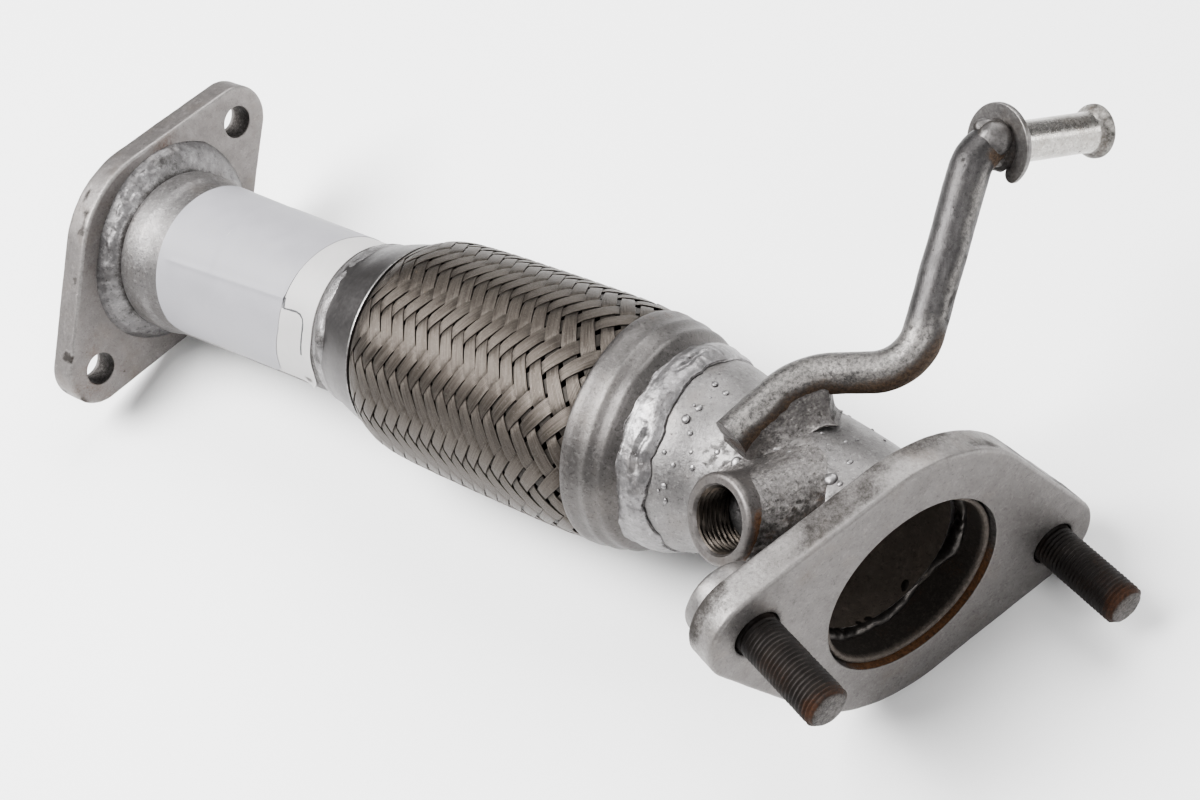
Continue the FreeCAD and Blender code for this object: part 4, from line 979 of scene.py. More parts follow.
# ------------------------------------------------------------- front collar
def collar_f_disp(X, R, T):
    P = xyz(X, R, T)
    k = smooth(212.9, 214.0, X)
    wav = 0.5 * fbm(np.stack([0 * X, np.cos(T) * 20, np.sin(T) * 20], -1), 13.0, 2, 14) * smooth(216, 213, X)
    return wav, k * (fbm(P, 13.0, 2, 31) * 0.28 + fbm(P, 3.0, 2, 33) * 0.06) * (R > 27.9)


revolve("front_collar_look", [
    (213.0, 33.9), (212.8, 34.3), (213.1, 34.72), (213.9, 34.95), (215.5, 34.9), (217.0, 34.55), (218.5, 34.25), (219.6, 34.2), (220.7, 34.15), (221.8, 33.7), (223.0, 33.2),
    (224.2, 33.0), (225.5, 32.9), (226.5, 32.4), (227.4, 31.4), (228.6, 30.1), (229.4, 29.6), (231.5, 29.2), (231.5, 27.8), (228.2, 27.8),
    (225.8, 30.8), (224.4, 31.8), (219.5, 32.7), (217.0, 32.7)],
    M_COLLAR_F, "front_collar", nseg=300, step=0.8, disp=collar_f_disp, sharp=50,
    attrs={"wear": lambda X, R, T, P: 0.35 * np.exp(-((X - 220.0) / 1.1) ** 2) * (R > 33) * smooth(-2.2, -1.7, np.where(T > math.pi, T - 2 * math.pi, T)) * (1 - smooth(-0.5, 0.1, np.where(T > math.pi, T - 2 * math.pi, T))),
           "soot": lambda X, R, T, P: 0.55 * smooth(213.3, 212.9, X) + 0.10 * smooth(0.5, 0.8, vnoise(P / 5.0, 2)) + 0.16 * smooth(-1.5, -2.3, np.where(T > math.pi, T - 2 * math.pi, T)),
           "rust": lambda X, R, T, P: 0.42 * smooth(-1.55, -2.3, np.where(T > math.pi, T - 2 * math.pi, T)) * smooth(225, 215, X) * vnoise(P / 2.0, 12)})


# -------------------------------------------------------------- front tube
def front_tube():
    st = np.linspace(222.0, XB + RB * 19.33 * DEG, int((XB + RB * 19.33 * DEG - 222.0) / 0.9) + 1)
    ro = np.interp(st, [222, 240.0, 241.5, 243.5, 246, 249.1, 400], [27.8, 27.8, 27.6, 26.9, 26.15, 25.1, 25.1])
    for _ in range(12):
        ro[16:-4] = 0.25 * ro[15:-5] + 0.5 * ro[16:-4] + 0.25 * ro[17:-3]
    nseg = 240
    th = np.arange(nseg) / nseg * 2 * math.pi
    S, T = np.meshgrid(st, th, indexing="ij")
    R = np.repeat(ro[:, None], nseg, 1)
    P = elbow_pt(S, T, R)
    R2 = R + fbm(P, 15.0, 2, 51) * 0.15 + fbm(P, 3.5, 2, 52) * 0.04
    out = elbow_pt(S, T, R2)
    inn = elbow_pt(S, T, R - 1.5 + fbm(P, 4.0, 2, 53) * 0.10)
    n = len(st) * nseg
    V = np.vstack([out.reshape(-1, 3), inn.reshape(-1, 3)])
    ns = len(st)
    F = [q[::-1] for q in quads(ns, nseg, False, True).tolist()] + quads(ns, nseg, False, True, base=n).tolist()
    for j in range(nseg):
        j2 = (j + 1) % nseg
        F.append([j, j2, n + j2, n + j])
        a = (ns - 1) * nseg
        F.append([a + j2, a + j, n + a + j, n + a + j2])
    Tn = np.where(T > math.pi, T - 2 * math.pi, T)
    return V, F, S, Tn, out, n


BT = math.radians(-43.9)
B_DIR = FU * math.cos(BT) + FW * math.sin(BT)
B_O = CF - 35.2 * FN
B_X = FN
B_Y = np.cross(B_DIR, B_X)


def boss(p):
    """Boss frame: X axis of a revolved profile is the boss axis."""
    p = np.asarray(p, float)
    return B_O + p[..., 0:1] * B_DIR + p[..., 1:2] * B_X + p[..., 2:3] * B_Y


ROD = np.array([[259.57, 6.16, -30.44], [267.02, -17.71, -30.93], [292.77, -30.66, -27.92], [287.72, -83.93, -53.90], [301.66, -117.64, -28.41]])
ROD_R = [0, 22.0, 14.0, 9.0, 0]

V, F, S, Tn, outer, half_n = front_tube()
foot = B_O + B_DIR * 25.0
sd = np.linalg.norm(V - foot, axis=1)
side = ((V - foot) @ FN)
under_rod = np.linalg.norm(V - (ROD[1] + np.array([0, 6, 9])), axis=1)
inner_flag = np.concatenate([np.zeros(half_n), np.ones(half_n)])
soot = 1.15 * np.exp(-(((V - (foot + FN * 9.0 + B_Y * -3)) ** 2).sum(1)) / 7.5 ** 2) + 0.5 * np.exp(-((sd - 13.5) / 2.2) ** 2) + 0.40 * np.exp(-(under_rod / 10.0) ** 2) + smooth(34.0, 18.0, sd) * 0.55 * smooth(0.42, 0.72, vnoise(V / 1.1, 61))
soot = soot * (1 - inner_flag) + inner_flag * 0.10
rust = (1 - inner_flag) * (0.9 * np.exp(-(((V - (foot + FN * 13.0)) ** 2).sum(1)) / 3.2 ** 2)) + inner_flag * 0.2
inside_f = [1 if min(f) >= half_n else 0 for f in F]
make("front_pipe_look", V, F, None, "front_pipe", mats=[M_PIPE, M_INNER], face_mat=inside_f, attrs={"soot": np.clip(soot, 0, 1), "rust": rust, "wear": 0.25 * vnoise(V / 6.0, 8) * (1 - inner_flag)}, sharp=45)


# bead that joins collar and front tube
def f_bead():
    nseg = 720
    th = np.arange(nseg) / nseg * 2 * math.pi
    tn = np.where(th > math.pi, th - 2 * math.pi, th)
    c = np.stack([np.cos(th) * 30, np.sin(th) * 30, 0 * th], -1)
    left = 228.6 + 1.3 * fbm(c, 11.0, 2, 201) + 0.5 * fbm(c, 3.0, 2, 202)
    right = 238.2 + 2.0 * fbm(c, 12.0, 2, 203) + 0.6 * fbm(c, 3.0, 2, 204)
    s = np.linspace(0, 1, 46)
    S_, T_ = np.meshgrid(s, th, indexing="ij")
    X = left[None] + (right - left)[None] * S_
    base = np.interp(X, [226.5, 227.4, 228.6, 229.4, 231.5, 241, 243.5], [32.2, 31.3, 30.1, 29.6, 29.2, 27.8, 26.9])
    arch = np.sin(np.clip(S_, 0, 1) * math.pi) ** 0.75
    P = xyz(X, base, T_)
    # overlapping ripples, bent like a bow
    ph = T_ * 30.0 / 3.4 * math.pi / 2 - 2.4 * (S_ - 0.5) ** 2 * 4 + 2.5 * fbm(c, 12.0, 2, 9)[None]
    rip = 0.11 * np.abs(np.sin(ph)) ** 1.4
    lump = fbm(P, 8.0, 2, 210) * 0.38 + fbm(P, 2.6, 2, 211) * 0.26 + fbm(P, 1.1, 2, 212) * 0.12
    valley = -0.9 * np.exp(-((S_ - 0.55 - 0.12 * fbm(c, 8.0, 2, 77)[None]) / 0.10) ** 2) * smooth(-0.1, 0.35, fbm(c, 16.0, 2, 88))[None]
    R = base + arch * (1.35 + rip + lump) + valley * arch
    top = xyz(X, R, T_)
    # the hidden underside needs only every ninth row
    under = xyz(X, base - 0.35, T_)[::9]
    n = len(s) * nseg
    Vb = np.vstack([top.reshape(-1, 3), under.reshape(-1, 3)])
    Fb = [q[::-1] for q in quads(len(s), nseg, False, True).tolist()] + quads(len(under), nseg, False, True, base=n).tolist()
    for j in range(nseg):
        j2 = (j + 1) % nseg
        Fb.append([j, j2, n + j2, n + j])
        a = (len(s) - 1) * nseg
        b = n + (len(under) - 1) * nseg
        Fb.append([a + j2, a + j, b + j, b + j2])
    crack = np.exp(-((S_ - 0.02) / 0.026) ** 2) + np.exp(-((S_ - 0.98) / 0.026) ** 2)
    so = crack * 0.80 * smooth(0.30, 0.60, vnoise(P / 4.5, 5)) + np.clip(-valley, 0, 1) * 0.35 * smooth(0.45, 0.75, vnoise(P / 4.0, 15)) + 0.4 * smooth(0.84, 0.92, vnoise(P / 1.6, 25))
    wr = 0.02 + 0.55 * smooth(0.1, 0.5, lump) * smooth(0.2, 0.6, S_)
    so = np.concatenate([np.clip(so, 0, 1).ravel(), np.zeros(len(under) * nseg)])
    wr = np.concatenate([wr.ravel(), np.zeros(len(under) * nseg)])
    return make("front_collar_weld_look", Vb, Fb, M_WELD, "front_collar_weld", attrs={"soot": so, "wear": wr}, sharp=60)


f_bead()


# weld at the back of the front plate, between plate, sleeve and elbow
def ffw_disp(X, R, T):
    P = xyz(X, R, T)
    free = smooth(26.9, 27.9, R) * smooth(-9.4, -10.2, X)
    lump = fbm(P, 4.0, 3, 301) * 0.6 + fbm(P, 1.7, 2, 302) * 0.25
    rip = 0.22 * np.sin(T * 24 + 2 * np.sin(3 * T))
    return -free * lump * 0.5, free * (lump * 0.7 + rip)


def front_x(Pv):
    """Revolved about X: X becomes the plate's normal."""
    return CF + Pv[..., 0:1] * FN + Pv[..., 1:2] * FU + Pv[..., 2:3] * FW


revolve("front_flange_weld_look", [
    (-9.5, 26.95), (-9.45, 31.0), (-10.4, 30.6), (-11.6, 30.0), (-12.8, 29.1), (-14.2, 28.2), (-15.8, 27.3), (-17.2, 26.6), (-18.6, 25.6), (-18.8, 24.6),
    (-16.0, 24.7), (-16.0, 26.95)], M_WELD, "front_flange_weld", nseg=360, step=0.6, disp=ffw_disp, frame_fn=front_x, sharp=60,
    attrs={"soot": lambda X, R, T, P: 0.7 * smooth(0.62, 0.8, vnoise(P / 3.0, 7)) + 0.5 * np.exp(-((X + 9.6) / 0.4) ** 2)})

# sleeve inside: soot, and painted shade making it darker deeper in
revolve("front_stub_look", [
    (-16.0, 25.3), (-16.0, 26.9), (-2.5, 26.9), (-2.05, 26.75), (-1.9, 26.4), (-1.95, 25.9), (-2.4, 25.45), (-3.2, 25.3)],
    M_INNER, "front_stub", nseg=240, step=0.7, frame_fn=front_x, sharp=50,
    disp=lambda X, R, T: (fbm(xyz(X, R, T), 8.0, 2, 4) * 0.12, fbm(xyz(X, R, T), 3.0, 2, 3) * 0.06),
    attrs={"wear": lambda X, R, T, P: 0.0 * X,
           "rust": lambda X, R, T, P: 0.30 * smooth(0.4, 0.8, vnoise(P / 5.0, 9)) * (X < -2.6),
           "soot": lambda X, R, T, P: 0.45 + 0.45 * smooth(-2.6, -4.0, X)})


def root_bead():
    nseg = 420
    th = np.arange(nseg) / nseg * 2 * math.pi
    td = th / DEG
    zc = np.interp(td, [0, 35, 65, 76, 90, 105, 118, 136, 152, 168, 174, 260, 360], [-12.2, -11.5, -13.0, -12.6, -13.5, -14.8, -14.1, -11.6, -10.7, -9.3, -10.6, -12.0, -12.2])
    c = np.stack([np.cos(th) * 25, np.sin(th) * 25, 0 * th], -1)
    s = np.linspace(0, math.pi, 14)
    S_, T_ = np.meshgrid(s, th, indexing="ij")
    w = 2.6 + 0.6 * fbm(c, 8.0, 2, 5)
    X = (zc - 0.5 + fbm(c, 7.0, 2, 8) * 0.5)[None] - np.cos(S_) * w[None]
    X = np.minimum(X, -9.0)
    P = xyz(X, 25 + 0 * X, T_)
    hgt = np.sin(S_) * (1.7 + 0.45 * fbm(P, 4.0, 2, 11) + 0.10 * np.sin(T_ * 38 + 3 * np.sin(2 * T_)))
    Rr = 25.32 - hgt
    Vv = front_x(xyz(X, Rr, T_)).reshape(-1, 3)
    Ff = quads(len(s), nseg, False, True).tolist()
    n = len(s) * nseg
    # close the back
    for j in range(nseg):
        j2 = (j + 1) % nseg
        a = (len(s) - 1) * nseg
        Ff.append([a + j, a + j2, j2, j])
    return make("inner_root_weld_look", Vv, Ff, M_INNER_WELD, "inner_root_weld", attrs={"wear": 0.12 * vnoise(Vv / 3.0, 4)}, sharp=60)


root_bead()


# --------------------------------------------------------------------- studs
def thread_profile(phase):
    """Depth fraction 0 at crest, 1 at root for a 60 degree thread."""
    p = np.abs((phase % 1.0) - 0.5) * 2          # 1 at the crest, 0 at the root
    return 1 - np.clip((p - 0.10) / 0.78, 0, 1)


def stud(name, node, side, seed, tack=False):
    cu, cw = side * 51.75 * math.cos(FA), side * 51.75 * math.sin(FA)
    nseg = 72
    th = np.arange(nseg) / nseg * 2 * math.pi
    rows = []
    pitch = 1.25
    z0 = -2.4
    zs = [(-15.5, 0.01), (-15.5, 5.0), (-15.5, 9.6), (-15.3, 10.3), (-14.9, 10.8), (-14.2, 11.0), (-12.5, 11.0), (-10.6, 11.0), (-9.9, 10.9), (-9.45, 10.6), (-9.45, 6.6), (-6.0, 6.6), (-2.4, 6.55), (-1.0, 6.35), (0.0, 6.0)]
    X, R = [], []
    knurl = []
    for z, r in zs:
        X.append(np.full(nseg, z)); R.append(np.full(nseg, r)); knurl.append(1.0 if (r > 10.5 and -15 < z < -9.6) else 0.0)
    for z in np.arange(0.15, 26.8, 0.2):
        d = thread_profile(z / pitch - th / (2 * math.pi))
        fade = smooth(0.0, 1.6, z)
        nick = 0.10 * smooth(0.70, 0.86, vnoise(np.stack([np.full(nseg, z / 2.0), np.cos(th) * 3, np.sin(th) * 3], -1), seed))
        R.append(5.97 - 0.68 * d * fade - nick)
        X.append(np.full(nseg, z)); knurl.append(0)
    for z, r in ((26.9, 5.55), (27.4, 5.1), (27.8, 4.75), (27.95, 4.3), (28.0, 3.4), (27.98, 1.6), (28.0, 0.01)):
        d = thread_profile(z / pitch - th / (2 * math.pi))
        X.append(np.full(nseg, z)); R.append(r - 0.25 * d * (r > 4.9)); knurl.append(0)
    X, R, kn = np.array(X), np.array(R), np.array(knurl)[:, None]
    T = np.repeat(th[None], len(X), 0)
    P = xyz(X, R, T)
    R = R + kn * (0.10 * np.sin(T * 36) + 0.25 * fbm(P, 4.0, 2, seed))
    X = X + np.where((X < -15) & (R < 10), fbm(P, 3.0, 2, seed + 2) * 0.25, 0)
    X = X + np.where((X > 27.7) & (R < 4.9), fbm(P, 2.0, 3, seed + 3) * 0.18 - 0.05, 0)
    Pv = xyz(X, R, T) + np.array([0, cu, cw])
    Vv = front_x(Pv).reshape(-1, 3)
    Ff = [q[::-1] for q in quads(len(X), nseg, False, True).tolist()]
    rr = R.ravel(); xx = X.ravel()
    endw = smooth(27.45, 27.85, xx) * (0.75 + 0.5 * vnoise(Vv / 2.5, 4))
    # bright thread crests: painted highlight
    crest_highlight = 0.35 * smooth(5.80, 5.97, rr) * (xx > 0.3) * smooth(0.45, 0.8, vnoise(Vv / 4.0, 6))
    rust = 0.35 * smooth(0.35, 0.75, vnoise(Vv / 5.0, seed)) * (xx > 0) + 0.55 * smooth(22.0, 26.5, xx) * (1 - smooth(27.4, 27.8, xx))
    head = (xx < -9.0)
    # darker thread roots in the attributes below are painted shade
    at = {"wear": np.clip(endw + crest_highlight, 0, 1) * (~head), "rust": np.clip(rust, 0, 1) * (~head), "soot": 0.7 * smooth(5.8, 5.4, rr) * (xx > 1) * (xx < 27.0)}
    fm = []
    for f in Ff:
        fm.append(1 if xx[f[0]] < -9.0 else 0)
    return make(name, Vv, Ff, None, node, attrs=at, sharp=0, mats=[M_STUD, M_BLAST], face_mat=fm)


stud("stud_left_look", "stud_left", 1.0, 3)
stud("stud_right_look", "stud_right", -1.0, 8)


# --------------------------------------------------------------- sensor boss
def bung():
    nseg = 96
    th = np.arange(nseg) / nseg * 2 * math.pi
    pr = [(22.0, 8.4), (22.0, 12.1)] + [(x, 12.25) for x in np.linspace(23.0, 38.9, 14)] + [(39.35, 12.1), (39.7, 11.8), (39.95, 11.3), (40.0, 10.9), (40.0, 10.4), (40.0, 9.8), (39.95, 9.5), (39.5, 9.15), (39.0, 8.9)]
    X = [np.full(nseg, a) for a, b in pr]
    R = [np.full(nseg, b) for a, b in pr]
    for x in np.arange(38.8, 22.0, -0.22):
        d = thread_profile(x / 1.5 + th / (2 * math.pi) + 0.5)
        R.append(8.3 + 0.72 * d)
        X.append(np.full(nseg, x))
    X, R = np.array(X), np.array(R)
    T = np.repeat(th[None], len(X), 0)
    P = xyz(X, R, T)
    side_m = ((X > 22.5) & (X < 39.2) & (R > 11.5))
    R = R + np.where(side_m, fbm(P, 6.0, 2, 31) * 0.12, 0)
    Vv = boss(xyz(X, R, T)).reshape(-1, 3)
    Ff = quads(len(X), nseg, False, True).tolist()
    n = len(X)
    for j in range(nseg):
        j2 = (j + 1) % nseg
        Ff.append([(n - 1) * nseg + j, (n - 1) * nseg + j2, j2, j])
    rr, xx = R.ravel(), X.ravel()
    k0 = len(pr)
    fm = [1 if min(f) // nseg >= k0 - 1 else 0 for f in Ff]
    side_v = (rr > 11.5)
    tow = ((Vv - B_O) @ FN)          # towards the plate
    rust = 0.95 * np.exp(-(((xx - 36.5) / 2.6) ** 2)) * smooth(6.0, 10.5, tow) * side_v
    so = side_v * (smooth(31.5, 26.0, xx) * 0.8 + 0.35 * smooth(0.5, 0.8, vnoise(Vv / 3.0, 5))) * smooth(-6, 8, tow)
    rim = 0.35 * np.exp(-((rr - 11.9) / 0.35) ** 2) * (xx > 38.8) * smooth(0.5, 0.75, vnoise(Vv / 2.0, 8))
    return make("sensor_bung_look", Vv, Ff, None, "sensor_bung", attrs={"rust": np.clip(rust, 0, 1), "soot": np.clip(so + rim, 0, 1), "wear": 0.15 * (xx > 39.9) * vnoise(Vv / 3.0, 2)},
                sharp=32, mats=[M_MACH, M_THREAD_IN], face_mat=fm)


bung()


def bung_weld():
    """Bead round the foot of the boss, on the elbow's surface."""
    nseg = 300
    th = np.arange(nseg) / nseg * 2 * math.pi
    s = np.linspace(0, 1, 40)
    V = []
    for q in s:
        reach = smooth(-0.25, 0.65, np.cos(th - 0.55))
        rr = 12.1 + (4.0 + 4.2 * reach + 0.9 * fbm(np.stack([np.cos(th) * 9, np.sin(th) * 9, 0 * th], -1), 4.0, 2, 405)) * q
        p = boss(np.stack([0 * th, rr * np.cos(th), rr * np.sin(th)], -1))
        # drop each point along the boss axis on to the elbow
        h = np.full(nseg, 20.0)
        for _ in range(60):
            cur = p + h[:, None] * B_DIR
            x = cur[:, 0]
            a = np.clip((x - XB) / RB, 0, 0.6)
            for _k in range(3):
                cx = np.where(x < XB, x, XB + RB * np.sin(a))
                cy = RB * (1 - np.cos(a))
                tang = np.stack([np.cos(a), np.sin(a), 0 * a], -1)
                dlt = ((cur - np.stack([cx, cy, 0 * a], -1)) * tang).sum(1)
                a = a + dlt / RB
            cc = np.stack([XB + RB * np.sin(a), RB * (1 - np.cos(a)), 0 * a], -1)
            dist = np.linalg.norm(cur - cc, axis=1)
            h = h + np.clip((25.1 - dist), -1, 1) * 0.7
        cur = p + h[:, None] * B_DIR
        lump = fbm(cur, 3.2, 3, 401) * 0.75 + fbm(cur, 1.2, 2, 402) * 0.42
        lump = lump + fbm(cur, 0.8, 2, 403) * 0.22
        lift = (2.6 + 9.4 * reach) * (1 - q) ** 1.9 + math.sin(min(1.0, q + 0.10) * math.pi * 0.95) * (0.25 + lump * (0.6 + 0.7 * reach)) * (1 - 0.55 * q) - 0.35 * (q > 0.99)
        V.append(cur + lift[:, None] * B_DIR)
    V = np.array(V)
    bot = V - 1.2 * B_DIR
    n = len(s) * nseg
    Vv = np.vstack([V.reshape(-1, 3), bot.reshape(-1, 3)])
    Ff = quads(len(s), nseg, False, True).tolist() + [q[::-1] for q in quads(len(s), nseg, False, True, base=n).tolist()]
    a = n - nseg
    for j in range(nseg):
        j2 = (j + 1) % nseg
        Ff.append([j, j2, n + j2, n + j])
        Ff.append([a + j2, a + j, n + a + j, n + a + j2])
    tow = ((Vv - B_O) @ FN)
    so = 0.85 * smooth(4, 15, tow) * (0.55 + 0.45 * smooth(0.3, 0.6, vnoise(Vv / 1.4, 15))) + 0.28 * smooth(0.55, 0.75, vnoise(Vv / 0.7, 5))
    return make("sensor_bung_weld_look", Vv, Ff, M_WELD_ROUGH, "sensor_bung_weld", attrs={"soot": np.clip(so, 0, 1), "rust": 0.4 * smooth(8, 13, tow) * vnoise(Vv / 2, 6), "wear": 0.42 * smooth(0.60, 0.75, vnoise(Vv / 0.8, 16))}, sharp=60)


bung_weld()


# ------------------------------------------------------------------- the rod
def bent_path(points, bends, step=0.8):
    pts = []
    last = points[0]
    for i in range(1, len(points) - 1):
        p = points[i]
        d0 = (p - points[i - 1]) / np.linalg.norm(p - points[i - 1])
        d1 = (points[i + 1] - p) / np.linalg.norm(points[i + 1] - p)
        turn = math.acos(d0 @ d1)
        run = bends[i] * math.tan(turn / 2)
        a, e = p - d0 * run, p + d1 * run
        inward = (d1 - d0) / np.linalg.norm(d1 - d0)
        c = p + inward * (bends[i] / math.cos(turn / 2))
        n = max(2, int(np.linalg.norm(a - last) / step))
        pts += [last + (a - last) * k / n for k in range(n)]
        m = max(4, int(bends[i] * turn / step))
        ra = a - c
        for k in range(m):
            t = turn * k / m
            pts.append(c + ra * math.cos(t) + d0 * bends[i] * math.sin(t))
        last = e
    n = max(2, int(np.linalg.norm(points[-1] - last) / step))
    pts += [last + (points[-1] - last) * k / n for k in range(n + 1)]
    return np.array(pts)


def sweep_frames(path):
    tang = np.gradient(path, axis=0)
    tang /= np.linalg.norm(tang, axis=1)[:, None]
    n0 = np.cross(tang[0], [0, 0, 1.0])
    n0 /= np.linalg.norm(n0)
    N_, B_ = [], []
    for t in tang:
        n0 = n0 - (n0 @ t) * t
        n0 /= np.linalg.norm(n0)
        N_.append(n0.copy())
        B_.append(np.cross(t, n0))
    return tang, np.array(N_), np.array(B_)


def rod():
    path = bent_path(ROD, ROD_R)
    tg, Nn, Bb = sweep_frames(path)
    arc = np.concatenate([[0], np.cumsum(np.linalg.norm(np.diff(path, axis=0), axis=1))])
    total = arc[-1]
    nseg = 56
    th = np.arange(nseg) / nseg * 2 * math.pi
    # radius along the rod: square cut end, full rod, then the upset head
    rad = np.full(len(path), 5.5)
    tail = total - arc
    rad = np.where(tail < 4.4, np.interp(tail, [0, 0.25, 1.0, 1.9, 2.3, 3.2, 4.4], [6.6, 7.2, 7.4, 7.25, 6.7, 5.9, 5.5]), rad)
    P = path[:, None] + 0 * th[None, :, None]
    C, Sn = np.cos(th), np.sin(th)
    dirs = Nn[:, None] * C[None, :, None] + Bb[:, None] * Sn[None, :, None]
    P0 = path[:, None] + dirs * rad[:, None, None]
    pin_k = smooth(total - 40, total - 38, arc)[:, None]
    rr = rad[:, None] + (fbm(P0, 9.0, 2, 71) * 0.14 + fbm(P0, 2.2, 3, 72) * 0.07) * (1 - 0.75 * pin_k)
    rr = np.maximum(rr, 0.1)
    V = path[:, None] + dirs * rr[:, :, None]
    # side faces, then rings that close both ends
    n = len(path)
    F = quads(n, nseg, False, True).tolist()
    rows = V.reshape(-1, 3)
    cap0 = [path[0] + dirs[0] * q * 5.2 - tg[0] * (0.15 if q < 0.9 else 0.0) + fbm((path[0] + dirs[0] * q * 5.2), 2.5, 2, 5)[:, None] * 0.2 * tg[0] for q in (0.93, 0.6, 0.3, 0.02)]
    cap1 = [path[-1] + dirs[-1] * q + tg[-1] * dz for q, dz in ((5.9, 0.22), (4.6, 0.25), (3.2, 0.18), (1.6, 0.15), (0.02, 0.15))]
    allv = [rows]
    k = len(rows)
    prev = list(range(nseg))
    for c in cap0:
        allv.append(c)
        cur = list(range(k, k + nseg))
        for j in range(nseg):
            F.append([prev[j], prev[(j + 1) % nseg], cur[(j + 1) % nseg], cur[j]][::-1] if False else [cur[j], cur[(j + 1) % nseg], prev[(j + 1) % nseg], prev[j]])
        prev = cur
        k += nseg
    prev = list(range((n - 1) * nseg, n * nseg))
    for c in cap1:
        allv.append(c)
        cur = list(range(k, k + nseg))
        for j in range(nseg):
            F.append([prev[j], prev[(j + 1) % nseg], cur[(j + 1) % nseg], cur[j]])
        prev = cur
        k += nseg
    Vv = np.vstack(allv)
    arc_v = np.concatenate([np.repeat(arc, nseg), np.zeros(4 * nseg), np.full(5 * nseg, total)])
    dv = np.concatenate([dirs.reshape(-1, 3)] + [dirs[0]] * 4 + [dirs[-1]] * 5)
    # underside (towards the pipe and the viewer's lower right) rusts
    low_dir = np.array([0.62, 0.30, 0.72])
    low_dir = low_dir / np.linalg.norm(low_dir)
    face = dv @ low_dir
    s1 = smooth(-6, 4, arc_v) * (1 - smooth(58, 66, arc_v))
    leg = smooth(60, 66, arc_v) * (1 - smooth(total - 50, total - 44, arc_v))
    nz = fbm(Vv, 5.0, 3, 8)
    rust = s1 * smooth(-0.25, 0.65, face + 0.30 * nz) * 0.85 + leg * smooth(0.45, 1.0, face + 0.30 * nz) * 0.85
    rust += 0.85 * smooth(total - 46.5, total - 45.0, arc_v) * (1 - smooth(total - 37.5, total - 35.5, arc_v)) * smooth(-0.3, 0.4, face)
    head = smooth(total - 4.6, total - 3.8, arc_v)
    rust += 0.6 * smooth(total - 5.2, total - 3.6, arc_v) * (1 - smooth(total - 2.2, total - 1.6, arc_v)) * vnoise(Vv / 2.0, 14)
    # soot on the side facing low_dir is painted shade; the random spots and the dark head are soot
    soot = s1 * smooth(-0.25, 0.55, face + 0.4 * nz) * 0.45 * (1 - smooth(30, 44, arc_v)) + 0.45 * smooth(0.72, 0.86, vnoise(Vv / 2.2, 9)) * (arc_v < total - 42)
    soot = soot + leg * 0.30 * smooth(0.2, 0.7, face + 0.4 * nz) + head * (0.50 + 0.30 * vnoise(Vv / 1.6, 44))
    # wear on the lit side and in narrow bands at set facings is painted highlight; the small noise term on the leg is
    # real wear
    lit = dv @ np.array([-0.35, 0.17, -0.92])
    wear = leg * 0.08 * vnoise(Vv / 5, 3) + leg * 0.75 * np.exp(-((face - 0.30 + 0.3 * nz) / 0.15) ** 2) + s1 * 0.75 * smooth(0.1, 0.7, lit) + s1 * 0.8 * np.exp(-((face + 0.12 + 0.3 * nz) / 0.16) ** 2)
    F = [f for f in F]
    fm = [1 if arc_v[f[0]] > total - 37.0 else 0 for f in F]
    return make("hanger_rod_look", Vv, F, None, "hanger_rod", attrs={"rust": np.clip(rust, 0, 1), "soot": np.clip(soot, 0, 1), "wear": np.clip(wear, 0, 1)},
                sharp=40, mats=[M_ROD, M_PIN], face_mat=fm)


rod()

# washer: slotted disc square to the pin
PD = (ROD[4] - ROD[3]) / np.linalg.norm(ROD[4] - ROD[3])
WC = ROD[3] + PD * 8.2
WA = np.cross(PD, [0, 0, 1.0])
WA /= np.linalg.norm(WA)
WB = np.cross(PD, WA)


